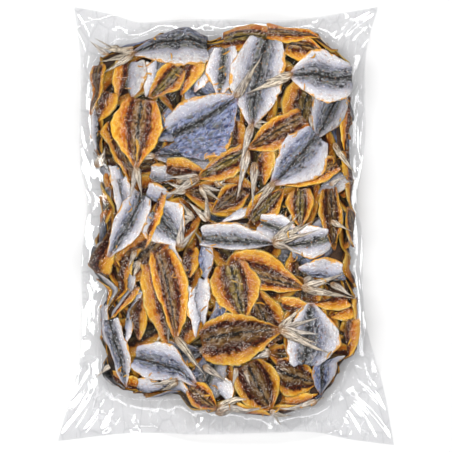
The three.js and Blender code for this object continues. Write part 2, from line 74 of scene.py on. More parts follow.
# The fish that show: look, layer (the highest lies on top), neck x and y, tail x and y, the half
# widths left and right of the line from neck to tail, and the tips of the tail's lobes.
SHOWN = [
    # top of the pouch
    ("slate", 0, -38, 121, -56, 105, 7, 7),
    ("amber", 1, 43, 130, 74, 127, 7, 10),
    ("white", 1, -6, 132, -23, 98, 7, 7),
    ("white", 1, -54, 120, -58, 95, 5, 6),
    ("slate", 1, -64, 123, -67, 95, 7, 7),
    ("deep", 1, -80, 99, -90, 77, 7, 7),
    ("olive", 2, -3, 138, 42, 133, 13, 12),
    ("pale", 2, 30, 138, 70, 140, 10, 9, [(78, 133)]),
    ("white", 2, -1, 132, -5, 95, 13, 13),
    ("amber", 2, -73, 126, -76, 95, 5, 6),
    ("deep", 2, -91, 123, -95, 82, 9, 10),
    ("silver", 3, 30, 133, 19, 73, 20, 22, [(9, 41)]),
    ("amber", 3, -19, 126, -33, 96, 7, 7),
    ("olive", 3, -33, 115, -56, 94, 9, 10),
    ("grey_back", 4, -13, 135, -68, 130, 19, 13, [(-93, 124), (-84, 114), (-80, 135)]),
    ("silver", 4, 93, 111, 47, 109, 20, 20, [(13, 95), (28, 105)]),
    # upper middle
    ("olive", 1, 30, 58, 28, 30, 7, 7),
    ("slate", 1, -56, 40, -37, 37, 7, 7),
    ("blue", 1, -59, 27, -40, 22, 7, 7),
    ("deep", 1, -44, 44, -16, 40, 8, 7),
    ("amber", 1, 92, 95, 93, 56, 5, 7),
    ("deep", 1, 93, 56, 93, 16, 5, 7),
    ("slate", 1, 89, 36, 68, 24, 8, 8),
    ("silver", 1, -95, 90, -95, 55, 5, 6),
    ("deep", 2, -78, 78, -73, 33, 11, 11),
    ("slate", 2, 83, 99, 67, 65, 13, 15),
    ("amber", 2, 83, 47, 41, 31, 10, 9),
    ("amber", 3, 57, 81, 16, 57, 15, 10),
    ("olive", 3, 15, 55, -21, 35, 13, 7, [(-43, 36), (-45, 19)]),
    ("blue", 4, -41, 66, 8, 95, 18, 30, [(28, 121), (19, 114)]),
    ("pale", 4, -61, 94, -68, 42, 18, 18, [(-73, 17), (-62, 20)]),
    ("lilac", 4, 67, 68, 34, 31, 22, 16, [(22, 24), (19, 11)]),
    # middle
    ("lilac", 1, -86, 45, -82, 8, 6, 7),
    ("silver", 1, -80, 36, -73, 4, 6, 6),
    ("deep", 1, 13, 27, -10, 10, 10, 10),
    ("olive", 1, 55, 28, 55, -1, 10, 10),
    ("deep", 1, -25, -16, -27, -38, 7, 7),
    ("blue", 1, -14, -15, -15, -40, 6, 6),
    ("white", 1, 19, 12, -3, 3, 4, 4),
    ("deep", 2, -91, -35, -79, 12, 8, 9),
    ("silver", 2, -54, 13, -33, -12, 18, 18),
    ("olive", 2, 18, 3, 42, 27, 11, 11),
    ("deep", 2, 78, 28, 81, -18, 7, 10),
    ("white", 2, 77, -9, 43, -15, 13, 13),
    ("silver", 2, 88, -34, 53, -31, 8, 9),
    ("lilac", 3, -63, 24, -84, -23, 13, 13),
    ("pale", 3, -45, 24, -59, -16, 4, 4),
    ("white", 3, 24, 3, 55, -7, 10, 11),
    ("silver", 4, -19, -10, 36, -13, 15, 7, [(54, 10), (58, 3), (65, 4), (68, -5), (55, -18)]),
    # lower middle
    ("white", 1, -40, -13, -27, -49, 4, 4),
    ("amber", 1, 93, -61, 74, -67, 7, 7),
    ("deep", 1, 96, -53, 96, -101, 5, 7),
    ("amber", 1, 89, -68, 87, -101, 7, 7),
    ("white", 2, -25, -44, -22, -82, 5, 6),
    ("white", 2, -17, -38, -16, -73, 6, 6),
    ("deep", 2, -64, -16, -91, -64, 4, 4),
    ("slate", 2, -69, -36, -86, -68, 4, 4),
    ("amber", 2, -67, -44, -84, -68, 4, 4),
    ("lilac", 2, -64, -47, -75, -88, 4, 4),
    ("deep", 2, -62, -53, -64, -84, 7, 7),
    ("amber", 2, 40, -56, 61, -59, 6, 6),
    ("amber", 2, 87, -55, 62, -57, 6, 5),
    ("olive", 3, -58, -27, -43, -88, 7, 8),
    ("lilac", 3, 57, -101, 61, -56, 15, 22),
    ("amber", 4, 1, -31, 57, -46, 18, 10, [(87, -35), (93, -55)]),
    ("olive", 4, 3, -27, 13, -68, 18, 19),
    ("deep", 4, -19, -84, 41, -76, 15, 22, [(56, -57), (68, -67), (70, -79), (68, -85), (75, -94)]),
    ("amber", 4, -50, -18, -37, -83, 16, 9, [(-23, -103), (-17, -110)]),
    # bottom of the pouch
    ("amber", 1, 43, -123, 71, -126, 7, 7),
    ("deep", 1, -90, -115, -78, -123, 7, 7),
    ("amber", 1, -77, -120, -62, -123, 7, 7),
    ("lilac", 1, -67, -121, -45, -124, 7, 6),
    ("lilac", 1, -46, -120, -25, -124, 7, 6),
    ("amber", 1, 7, -130, 34, -136, 7, 7),
    ("deep", 1, 37, -130, 64, -132, 6, 6),
    ("white", 1, -4, -112, 4, -127, 7, 6),
    ("slate", 2, -93, -58, -92, -88, 5, 5),
    ("deep", 2, 36, -101, 70, -115, 13, 13),
    ("blue", 2, 71, -98, 75, -129, 18, 7),
    ("amber", 2, -27, -118, -7, -130, 10, 9),
    ("lilac", 3, -87, -68, -77, -125, 10, 10),
    ("grey_spine", 3, -69, -98, -22, -115, 19, 15),
    ("deep", 3, 15, -99, 33, -129, 17, 17, [(42, -140), (48, -135)]),
]

# Fins and tail lobes whose own fish is hidden: root x and y, tip x and y.
LOOSE_LOBES = [
    (-86, 132, -102, 144), (-78, 138, -97, 145), (-67, 134, -93, 139),
    (16, 56, 10, 17), (21, 47, 20, 13),
    (-13, 4, -29, 18), (-13, 4, -16, 24),
    (-19, 29, -1, 25), (-19, 29, -4, 17), (-19, 29, -12, 14),
    (-34, -16, -33, 10), (-34, -16, -21, -1),
    (-6, -130, 18, -121), (-8, -132, 31, -124), (8, -103, 4, -118), (14, -103, 18, -113),
    (-92, -105, -104, -122), (67, -130, 79, -132), (-96, 43, -87, 59),
    (-17, -102, 2, -115), (-35, -118, -56, -121), (-35, -120, -50, -127), (70, -130, 36, -125),
    (75, -42, 93, -54), (80, 61, 97, 36), (77, 30, 90, 38), (78, 4, 92, -5), (-66, -18, -70, -33),
]

# How a look moves the finish: shade (dark to pale), hue (grey to blue, or brown to olive), age,
# and lean (to which side the dark of the back reaches further).
LOOKS = {
    "white": (0.95, 0.1, 0.35, 0.5), "silver": (0.72, 0.5, 0.3, 0.5), "lilac": (0.6, 0.6, 0.2, 0.4),
    "blue": (0.5, 0.95, 0.3, 0.25), "slate": (0.15, 0.5, 0.45, 0.3), "grey_back": (0.24, 0.42, 0.3, 0.2),
    "grey_spine": (0.72, 0.7, 0.3, 0.5),
    "pale": (0.95, 0.45, 0.1, 0.5), "amber": (0.75, 0.3, 0.35, 0.5), "olive": (0.5, 0.95, 0.4, 0.5),
    "deep": (0.25, 0.15, 0.9, 0.5),
}
FLESH_LOOKS = ("pale", "amber", "olive", "deep")
NO_TINT = np.full(4, 0.5)

# How far the heap's real outline lies outside (or inside) its round-cornered field, along each
# side: place along the side, millimetres outwards.
OUTLINE = {
    "top": [(-94, -4), (-71, -4), (-50, 3), (-27, 3), (-12, -2), (4, 1), (20, 5), (62, 5), (78, -3),
            (94, -2)],
    "bottom": [(-94, -6), (-86, -5), (-34, -5), (-25, 1), (7, 2), (14, 6), (44, 7), (62, 3), (80, -3),
               (94, -6)],
    "left": [(-128, -4), (-99, -3), (-84, -1), (-62, -1), (-47, -8), (-38, -2), (-29, 3), (-10, 1), (15, -5),
             (41, -5), (56, 1), (82, 5), (123, 5), (138, 2)],
    "right": [(-128, -6), (-103, -4), (-97, 5), (-55, 5), (-38, 2), (-33, -1), (56, -1), (97, 1), (138, 0)],
}

DRAW = np.random.default_rng(20)
GRAIN_CELLS = 64
GRAIN = DRAW.random((GRAIN_CELLS, GRAIN_CELLS))


def clamp(x, low, high):
    return np.minimum(np.maximum(x, low), high)


def ease(x, low=0.0, high=1.0):
    """From 0 to 1 as x goes from low to high, with a smooth start and end."""
    share = clamp((x - low) / (high - low), 0.0, 1.0)
    return share * share * (3 - 2 * share)


def mix(a, b, share):
    return a + (b - a) * share


def grain(x, y):
    """An uneven value from 0 to 1 over a plane, smooth from one unit to the next."""
    i, j = np.floor(x).astype(int), np.floor(y).astype(int)
    a, b = ease(x - i), ease(y - j)
    i, right, j, up = (cell % GRAIN_CELLS for cell in (i, i + 1, j, j + 1))
    return mix(mix(GRAIN[j, i], GRAIN[j, right], a), mix(GRAIN[up, i], GRAIN[up, right], a), b)


# ---------------------------------------------------------------- the round wall


def from_field(u, v):
    """The nearest place of the straight inner field, the way out from it, and how far beyond."""
    du, dv = u - CENTRE[0], v - CENTRE[1]
    inner_u = clamp(du, CORNER - HALF[0], HALF[0] - CORNER)
    inner_v = clamp(dv, CORNER - HALF[1], HALF[1] - CORNER)
    reach = np.hypot(du - inner_u, dv - inner_v)
    safe = np.maximum(reach, 1e-9)
    return inner_u, inner_v, (du - inner_u) / safe, (dv - inner_v) / safe, reach - CORNER


def outline_shift(x, y):
    """How far a place moves so that the heap's edge follows its real outline."""
    side = {name: np.interp(x if name in ("top", "bottom") else y, *zip(*places))
            for name, places in OUTLINE.items()}
    move_x = side["right"] * ease(x, 50, 90) - side["left"] * ease(-x, 50, 90)
    move_y = side["top"] * ease(y, 90, 132) - side["bottom"] * ease(-y, 80, 122)
    return move_x, move_y


def on_heap(u, v, w, facing=1, past_wall=0.0):
    """Lays points of the unrolled heap, at heights w over its core, on the real heap."""
    inner_u, inner_v, out_u, out_v, beyond = from_field(u, v)
    along = clamp(beyond, -CORNER, 0) + CORNER
    turn = np.maximum(beyond, 0) / WALL
    past = np.maximum(turn - math.pi, 0) * WALL
    angle = np.minimum(turn, math.pi)
    if facing > 0:
        w = w - PRESS * np.maximum(w - PRESSED_ABOVE, 0)
        w = w - SQUEEZE * ease(beyond, -6, 8) * (w + 5)
    radius = WALL + w
    out = along + (radius + past_wall) * np.sin(angle) - past
    dome_u = np.maximum(1 - ((u - CENTRE[0]) / HALF[0]) ** 2, 0)
    dome_v = np.maximum(1 - ((v - CENTRE[1]) / HALF[1]) ** 2, 0)
    lift = DOME * dome_u * dome_v if facing > 0 else 0.0
    x = CENTRE[0] + inner_u + out_u * out
    y = CENTRE[1] + inner_v + out_v * out
    z = MIDDLE_Z + facing * (radius * np.cos(angle) + lift) - FIN_SINK * past_wall
    move_x, move_y = outline_shift(x, y)
    return np.stack([x + move_x, y + move_y, np.maximum(z, LOWEST)], axis=-1)


def stretched_out(x, y):
    """Unrolled place and extra height of a place seen from above, also where it hangs over the wall."""
    _, _, out_u, out_v, beyond = from_field(x, y)
    turn = np.arcsin(clamp(beyond / WALL, 0, OVERHANG))
    extra = np.maximum(beyond / OVERHANG - WALL, 0)
    step = np.where(beyond > 0, turn * WALL - beyond, 0)
    return x + out_u * step, y + out_v * step, extra


# ---------------------------------------------------------------- heights over the core

CELL = 1.25
REACH = (124.0, 166.0)


def widened(grid, axis, before, after):
    """The grid with its edge repeated before and after it, along one axis."""
    pad = [(0, 0), (0, 0)]
    pad[axis] = (before, after)
    return np.pad(grid, pad, mode="edge")


def even_out(grid, cells):
    """A grid evened out twice over this many cells each way."""
    width = 2 * cells + 1
    for axis in (0, 1, 0, 1):
        sums = np.cumsum(widened(grid, axis, cells + 1, cells), axis=axis)
        high = np.take(sums, range(width, sums.shape[axis]), axis=axis)
        low = np.take(sums, range(0, sums.shape[axis] - width), axis=axis)
        grid = (high - low) / width
    return grid


def highest(grid, cells):
    """The highest value within this many cells each way."""
    for axis in (0, 1):
        wide = widened(grid, axis, cells, cells)
        size = grid.shape[axis]
        grid = np.max([np.take(wide, range(k, k + size), axis=axis) for k in range(2 * cells + 1)], axis=0)
    return grid


def lowest(grid, cells):
    return -highest(-grid, cells)


def sample(grid, x, y):
    """The grid's value between its points, x across and y up, counted in cells."""
    x = clamp(x, 0, grid.shape[1] - 1.001)
    y = clamp(y, 0, grid.shape[0] - 1.001)
    i, j = x.astype(int), y.astype(int)
    low = mix(grid[j, i], grid[j, i + 1], x - i)
    high = mix(grid[j + 1, i], grid[j + 1, i + 1], x - i)
    return mix(low, high, y - j)


class Relief:
    """Heights over the unrolled heap, which the fish raise one by one."""

    def __init__(self, start):
        self.u = np.arange(-REACH[0], REACH[0] + CELL, CELL)
        self.v = np.arange(-REACH[1], REACH[1] + CELL, CELL)
        self.heights = np.full((len(self.v), len(self.u)), float(start))

    def window(self, u, v, reach):
        """The rows and columns of the cells within reach of a place."""
        spans = []
        for x, edge, size in zip((v, u), REACH[::-1], self.heights.shape):
            first = int(clamp((x - reach + edge) / CELL, 0, size - 2))
            last = int(clamp((x + reach + edge) / CELL + 2, first + 2, size))
            spans.append(slice(first, last))
        return spans

    def felt(self, u, v, reach, stiff):
        """What a piece about this place lies on: the heights as its stiffness feels them."""
        rows, columns = self.window(u, v, reach)
        local = even_out(highest(self.heights[rows, columns], 1), stiff)
        start_u, start_v = self.u[columns.start], self.v[rows.start]
        return lambda a, b: sample(local, (a - start_u) / CELL, (b - start_v) / CELL)

    def at(self, u, v):
        return sample(self.heights, (u + REACH[0]) / CELL, (v + REACH[1]) / CELL)

    def raise_at(self, u, v, top):
        """Raises the cells nearest to some places to the tops given there."""
        i, j = (clamp(np.round((x + reach) / CELL), 0, size - 1).astype(int)
                for x, reach, size in zip((u, v), REACH, self.heights.shape[::-1]))
        np.maximum.at(self.heights, (j, i), top)

    def raise_under(self, fish, base):
        rows, columns = self.window(*fish.middle, fish.reach)
        u, v = np.meshgrid(self.u[columns], self.v[rows])
        s, t = fish.locate(u, v)
        inside = (s >= 0) & (s <= 1) & (np.abs(t) <= 1)
        top = base(u, v) + fish.rise(clamp(s, 0, 1), clamp(t, -1, 1))
        local = self.heights[rows, columns]
        self.heights[rows, columns] = np.where(inside, np.maximum(local, top), local)


# ---------------------------------------------------------------- one fish

THICKNESS = 4.2
WIDEST_AT = 0.38
NECK_WIDTH = 0.74
TAIL_WIDTH = 0.09
ROLL = 0.14           # share of the half width over which the edge rolls down
FOLDED_BELOW = 10.0   # half width of a fish of which only one side shows
FINE = 1.3            # length of a mesh cell on a fish that shows
PLAIN = 3.4           # the same on a fish that hardly shows
SIDE_TEETH = ((3.4, 11), (1.5, 3.9), (1.0, 1.9))  # depths and lengths of what is torn off the sides
NECK_TEETH = ((3.0, 6), (1.6, 2.1))
NOTCH = 1.8           # how far the backbone stands back at the neck
WAVES = (1.1, 2.3, 3.7, 5.9, 8.3)
WAVES_ALONG = (0.14, 0.12, 0.08, 0.05, 0.03)
WAVES_ACROSS = (0.12, 0.1, 0.06, 0.05, 0.03)


def width_at(s):
    """Share of the greatest width at a share of the length, from neck to tail."""
    s = clamp(s, 0, 1)
    front = mix(NECK_WIDTH, 1.0, np.sin(math.pi / 2 * clamp(s / WIDEST_AT, 0, 1)))
    back = mix(1.0, TAIL_WIDTH, clamp((s - WIDEST_AT) / (1 - WIDEST_AT), 0, 1) ** 1.6)
    return np.where(s < WIDEST_AT, front, back)


def ripple(x, phases, heights):
    """A smooth uneven line: a few sines of seeded phase."""
    return sum(h * np.sin(2 * math.pi * (w * x + p)) for p, w, h in zip(phases, WAVES, heights))


def torn(run, row, teeth):
    """How far a torn edge stands out along a run, with teeth of several sizes."""
    row = row + run * 0
    return sum(depth * (grain(run / length, row + 3 * k) - 0.5) for k, (depth, length) in enumerate(teeth))


class Fish:
    """One butterflied fish, headless and opened flat, lying on what is below it."""

    def __init__(self, side, look, layer, neck_x, neck_y, tail_x, tail_y, left, right, lobes=()):
        self.side, self.layer = side, layer
        self.left, self.right, self.lobes = float(left), float(right), lobes
        self.widest = max(self.left, self.right)
        self.neck = np.array([neck_x, neck_y], float)
        run = np.array([tail_x, tail_y], float) - self.neck
        self.length = float(np.hypot(*run))
        self.ahead = run / self.length
        self.middle = self.neck + run / 2
        self.reach = self.length / 2 + self.widest
        self.rim_side = 1 if left >= right else -1
        self.folded = self.widest < FOLDED_BELOW
        self.phases = DRAW.random((6, 5))
        draw = DRAW.random(4)
        if look:
            draw = clamp(np.array(LOOKS[look]) + 0.16 * (draw - 0.5), 0, 1)
        self.tint = draw
        self.cup = DRAW.uniform(0.6, 1.6)
        self.bend = DRAW.uniform(-0.03, 0.03)

    def half(self, s, t):
        return np.where(t > 0, self.left, self.right) * width_at(s)

    def sway(self, s):
        s = clamp(s, 0, 1)
        return self.bend * self.length * 4 * s * (1 - s)

    def place(self, s, t, ragged=True):
        """The place at share s of the length and share t of the half width, left positive."""
        half = self.half(s, t)
        along = s * self.length
        along = along + 0.4 * min(self.left, self.right) * (1 - s) ** 4 * t ** 6
        if ragged:
            fray = torn(along + 90 * self.tint[1], 60 * self.tint[0] + 9 * (t > 0), SIDE_TEETH)
            fray = fray * ease(np.abs(t), 0.3, 1.0) * ease(1.04 - s, 0.0, 0.25)
            half = half + fray * min(1.0, self.length / 45)
            cut = torn(t * (self.left + self.right) / 2 + 50 * self.tint[2], 5, NECK_TEETH)
            along = along + (cut + NOTCH * (1 - t * t) ** 2) * (1 - s) ** 5
        across = t * half + self.sway(s)
        u = self.neck[0] + self.ahead[0] * along - self.ahead[1] * across
        v = self.neck[1] + self.ahead[1] * along + self.ahead[0] * across
        return u, v

    def tail_root(self):
        return self.place(np.array(0.97), np.array(0.0), ragged=False)

    def locate(self, u, v):
        """The shares of the length and of the half width at a place."""
        du, dv = u - self.neck[0], v - self.neck[1]
        s = (du * self.ahead[0] + dv * self.ahead[1]) / self.length
        across = dv * self.ahead[0] - du * self.ahead[1] - self.sway(s)
        return s, across / self.half(s, across)

    def shown_across(self, t):
        """Where on a whole fish the share t lies: a folded one shows one side alone."""
        if not self.folded:
            return t
        return mix(0.22, 1.0, (t * self.rim_side + 1) / 2)

    def rise(self, s, t):
        """Height of the upper face over what the fish lies on."""
        a = np.abs(self.shown_across(t))
        lumps = ripple(s + 0.6 * t, self.phases[3], WAVES_ALONG)
        lumps = lumps + ripple(t - 0.4 * s, self.phases[4], WAVES_ACROSS)
        along, across = s * self.length + 90 * self.tint[0], t * self.widest + 70 * self.tint[1]
        lumps = lumps + 0.5 * (grain(along / 4.5, across / 2.4) - 0.5)
        lumps = lumps + 0.35 * (grain(along / 2.1, across / 1.6) - 0.5)
        rolled = 1 - np.sqrt(1 - clamp((np.abs(t) - (1 - ROLL)) / ROLL, 0, 1) ** 2)
        thick = THICKNESS * mix(1.0, 0.45, ease(s))
        scale = min(1.0, self.widest / 14)
        if self.side == SKIN:
            dome = 0.42 + 0.62 * scale * (1 - a ** 2.2) - 0.16 * np.exp(-((a / 0.07) ** 2))
            return thick * (dome - 0.2 * rolled) + 0.8 * lumps
        rim = 0.32 * ease(a, 0.5, 0.78)
        groove = 0.16 * np.exp(-((a / 0.09) ** 2)) + 0.07 * np.exp(-(((a - 0.56) / 0.1) ** 2))
        cup = 0.3 * self.cup * scale * a * a
        return thick * (0.42 + rim + cup - groove - 0.34 * rolled) + 0.9 * lumps

    def flap(self, s, t):
        """How deep the piece is under its upper face."""
        return (0.5 + 1.3 * np.sqrt(clamp((1 - np.abs(t)) / 0.25, 0, 1))) * mix(1.0, 0.5, s)


def set_out(name, data):
    """A piece, light or camera in the scene."""
    made = bpy.data.objects.new(name, data)
    bpy.context.scene.collection.objects.link(made)
    return made


class Batch:
    """Bodies of one kind that end up as one mesh, each with its share of the bake map."""

    def __init__(self):
        self.bodies, self.count = [], 0

    def add(self, points, faces, tint, *maps):
        """Adds a body, with its maps: shares of the fish, places on its skin and the patch to bake."""
        points = points.reshape(-1, 3)
        maps = [np.stack(np.broadcast_arrays(*pair), -1).reshape(-1, 2) for pair in maps]
        self.bodies.append((points, faces + self.count, np.tile(tint, (len(points), 1)), *maps))
        self.count += len(points)

    def build(self, name, finish):
        points, faces, tints, fish, lie, patches = zip(*self.bodies)
        cells = math.ceil(math.sqrt(len(patches)))
        placed = [(patch * 0.96 + 0.02 + (k % cells, k // cells)) / cells for k, patch in enumerate(patches)]
        mesh = bpy.data.meshes.new(name)
        mesh.from_pydata((np.concatenate(points) * MM).tolist(), [], np.concatenate(faces).tolist())
        corner = np.empty(len(mesh.loops), np.int64)
        mesh.loops.foreach_get("vertex_index", corner)
        for title, values in (("OFBake", placed), ("fish", fish), ("lie", lie)):
            layer = mesh.uv_layers.new(name=title)
            layer.data.foreach_set("uv", np.concatenate(values)[corner].astype(np.float32).ravel())
        tint = mesh.color_attributes.new("tint", "FLOAT_COLOR", "POINT")
        tint.data.foreach_set("color", np.concatenate(tints).astype(np.float32).ravel())
        mesh.polygons.foreach_set("use_smooth", np.ones(len(mesh.polygons), bool))
        mesh.materials.append(finish)
        if mesh.validate():
            print(name, "had faces that were not sound")
        return set_out(name, mesh)


def split_quads(quads):
    """Two triangles for each quad, less those that have closed up."""
    pairs = np.concatenate([quads[:, [0, 1, 2]], quads[:, [0, 2, 3]]])
    a, b, c = pairs.T
    return pairs[(a != b) & (b != c) & (c != a)]


def sheet_quads(rows, columns, closed=False):
    """Quads between the points of a sheet, which may close on its first row."""
    j, i = np.meshgrid(np.arange(rows - 1 + closed), np.arange(columns - 1), indexing="ij")
    here, there = j * columns + i, (j + 1) % rows * columns + i
    return np.stack([here, there, there + 1, here + 1], -1).reshape(-1, 4)


def tube_faces(rows, around):
    """Triangles of a flat tube: rows of closed rings, with both ends sewn up across."""
    r, k = np.meshgrid(np.arange(rows), np.arange(around), indexing="ij")
    here, beside = r * around + k, r * around + (k + 1) % around
    wall = np.stack([here, beside, beside + around, here + around], -1)
    j = np.arange(around // 2)
    start = np.stack([(around - j) % around, (around - j - 1) % around, j + 1, j], -1)
    end = rows * around + start[:, ::-1]
    return split_quads(np.concatenate([wall.reshape(-1, 4), start, end]))


def add_fish(batch, fish, base, relief, cell, facing=1):
    """One fish as a closed body: its upper face, its lower face and the rolled edge."""
    along = int(clamp(fish.length / cell, 9, 46))
    across = int(clamp((fish.left + fish.right) / cell, 7, 36))
    s = np.linspace(0, 1, along + 1)[:, None]
    t_top = np.sin(np.linspace(-math.pi / 2, math.pi / 2, across + 1))
    t_top = mix(t_top, np.linspace(-1, 1, across + 1), 0.5)
    t = np.concatenate([t_top, t_top[-2:0:-1]])[None, :]
    lower = np.arange(t.shape[1])[None, :] > across
    s, t = np.broadcast_arrays(s, t)
    u, v = fish.place(s, t)
    rise = fish.rise(s, t)
    top = base(u, v) + rise
    if facing > 0:
        top = np.maximum(top, relief.at(u, v) + 0.25 * rise)
    points = on_heap(u, v, np.where(lower, top - fish.flap(s, t), top), facing)
    faces = tube_faces(along, t.shape[1])
    offset = 40 * fish.tint[:2]
    batch.add(points, faces if facing > 0 else faces[:, ::-1], fish.tint,
              (s, fish.shown_across(t)),
              (s * fish.length / 10 + offset[0], t * fish.half(s, t) / 10 + offset[1]),
              (np.where(lower, 0.82 + 0.18 * s, 0.78 * s), (t + 1) / 2))


def lay(batches, fishes, relief, cell, facing=1):
    """Lays the fish one on the next."""
    for fish in fishes:
        base = relief.felt(*fish.middle, fish.reach + 8, 3)
        add_fish(batches[fish.side], fish, base, relief, cell, facing)
        relief.raise_under(fish, base)


# ---------------------------------------------------------------- tails and fins

RAYS = 6
RAY_STEPS = 12
LOBE_LIFT = 0.7       # how far a lobe stands off what it lies on
SCRAP_STEPS = 6
ROUND = np.array([-1, 0, 1, 0])   # round a ray or a crumb: one edge, its top, the other edge, below


def add_lobe(batch, root, tip, relief):
    """One lobe of a dried tail: a blade of flat rays that lie edge on edge and part at the tip."""
    root, tip = np.array(root, float), np.array(tip, float)
    run = tip - root
    length = float(np.hypot(*run))
    ahead = run / length
    side = np.array([-ahead[1], ahead[0]])
    base = relief.felt(*(root + run / 2), length / 2 + 6, 1)
    bow = DRAW.uniform(-0.07, 0.07)
    spread = clamp(0.095 * length, 0.9, 2.4)
    tint = DRAW.random(4)
    share = np.linspace(0, 1, RAY_STEPS + 1)
    along, around = np.meshgrid(share, ROUND, indexing="ij")
    blade = np.sin(math.pi * share ** 0.62) ** 0.8
    half = spread * (0.16 + 0.3 * blade) * (1 - share ** 4) + 0.05
    for ray in range(RAYS):
        way = 2 * (ray + DRAW.uniform(-0.25, 0.25)) / (RAYS - 1) - 1
        far = share * (length * (1.02 - 0.3 * abs(way) ** 1.5) * DRAW.uniform(0.9, 1.02))
        out = spread * way * (0.1 + 0.8 * blade * (1 - 0.35 * share)) + bow * length * share ** 2
        rise = LOBE_LIFT + 0.6 * (1 - share) + 0.25 * (ray % 2) + 0.3 * np.sin(3 * share + 5 * way) * share
        ring = []
        for across, height in zip(ROUND, (0.0, 0.3, 0.0, -0.28)):
            x, y = (root[k] + ahead[k] * far + side[k] * (out + across * half) for k in (0, 1))
            u, v, extra = stretched_out(x, y)
            top = base(u, v) + rise + height
            ring.append(on_heap(u, v, top, past_wall=extra))
            relief.raise_at(u, v, top + 0.3)
        batch.add(np.stack(ring, axis=1), tube_faces(RAY_STEPS, 4), tint,
                  (along, around * 0.5 + 0.5),
                  (along * length / 10 + 9 * tint[0], around * 0.1 + 0.3 * ray + 5 * tint[1]),
                  (along, (np.arange(4) / 3 + ray) / RAYS * 0.9))


def add_tail(batch, fish, relief):
    """Both lobes of the tail of a fish that hardly shows, where it lies on the flat field."""
    root = np.array(fish.tail_root())
    heading = math.atan2(fish.ahead[1], fish.ahead[0])
    for way in (-1, 1):
        angle = heading + way * DRAW.uniform(0.15, 0.45)
        tip = root + np.array([math.cos(angle), math.sin(angle)]) * DRAW.uniform(14, 20)
        if from_field(*tip)[4] < 0:
            add_lobe(batch, root, tip, relief)


def add_scrap(batch, u, v, heading, length, relief):
    """A curled crumb of dried flesh that has come off an edge."""
    share = np.linspace(0, 1, SCRAP_STEPS + 1)
    along, around = np.meshgrid(share, ROUND, indexing="ij")
    turn = heading + DRAW.uniform(-1.6, 1.6) * share
    far = np.cumsum(np.stack([np.cos(turn), np.sin(turn)], -1), axis=0) * length / len(share)
    half = 0.2 + 0.4 * np.sin(math.pi * share) * DRAW.uniform(0.5, 1.2, len(share))
    ring = []
    for across, height in zip(ROUND, (0.2, 0.9, 0.2, -0.4)):
        a = u + far[:, 0] - np.sin(turn) * across * half
        b = v + far[:, 1] + np.cos(turn) * across * half
        ring.append(on_heap(a, b, relief.at(a, b) + height + 0.3 + 0.5 * np.sin(math.pi * share)))
    batch.add(np.stack(ring, axis=1), tube_faces(SCRAP_STEPS, 4), np.array(LOOKS["amber"]),
              (0.4 + 0.1 * along, 0.84 + 0.08 * around),
              (along * length / 10 + u, around * 0.1 + v),
              (along, around / 2 + 0.5))


# ---------------------------------------------------------------- who lies where

FILL_START = -9.0     # the hidden fish under those that show start this far inside the core
UNDER_START = -3.6    # and those of the underside this far
CORE_SINK = 5.4
CORE_STEPS = (0.25, 0.6, 0.85)   # shares of the way from the middle at which the inside has a ring
SCRAPS_PER_FISH = 2


def pick_side(chance=0.28):
    return SKIN if DRAW.random() < chance else FLESH


def fish_about(u, v, angle, length, width, side):
    """A fish whose middle lies at a place, turned by an angle."""
    run = np.array([math.cos(angle), math.sin(angle)]) * length / 2
    fish = Fish(side, None, 0, u - run[0], v - run[1], u + run[0], v + run[1], width, width)
    # painted shade: these fish lie below those that show or on the underside, and are made darker to stand
    # for the shade in the gaps between the fish
    fish.tint[0] = 0.75 * fish.tint[0] - 0.55
    return fish


def scattered(columns, rows, spread):
    """An uneven spread of fish over the field, with no two in line."""
    fishes = []
    for row in range(rows):
        for column in range(columns):
            u = CENTRE[0] + HALF[0] * spread * (2 * (column + 0.5 + DRAW.uniform(-0.35, 0.35)) / columns - 1)
            v = CENTRE[1] + HALF[1] * spread * (2 * (row + 0.5 + DRAW.uniform(-0.35, 0.35)) / rows - 1)
            width, length = DRAW.uniform(14, 18), DRAW.uniform(44, 58)
            fishes.append(fish_about(u, v, DRAW.uniform(0, 2 * math.pi), length, width, pick_side()))
    return [fishes[k] for k in DRAW.permutation(len(fishes))]


def round_the_wall(spacing):
    """Fish that stand and lie along the heap's wall."""
    fishes = []
    around = 4 * ((HALF[0] - CORNER) + (HALF[1] - CORNER)) + 2 * math.pi * (CORNER + 10)
    count = int(around / spacing)
    for k in range(count):
        angle = 2 * math.pi * (k + DRAW.uniform(-0.3, 0.3)) / count
        far = 1 / max(abs(math.cos(angle)) / HALF[0], abs(math.sin(angle)) / HALF[1])
        u, v = CENTRE[0] + far * math.cos(angle), CENTRE[1] + far * math.sin(angle)
        _, _, out_u, out_v, _ = from_field(u * 1.02, v * 1.02)
        out = math.pi * WALL / 2 + DRAW.uniform(-7, 7)
        heading = math.atan2(out_u, -out_v) + DRAW.uniform(-0.9, 0.9)
        heading += math.pi * (DRAW.random() < 0.5)
        width, length = DRAW.uniform(8, 12), DRAW.uniform(24, 40)
        fishes.append(fish_about(u + out_u * out, v + out_v * out, heading, length, width, pick_side(0.25)))
    return fishes


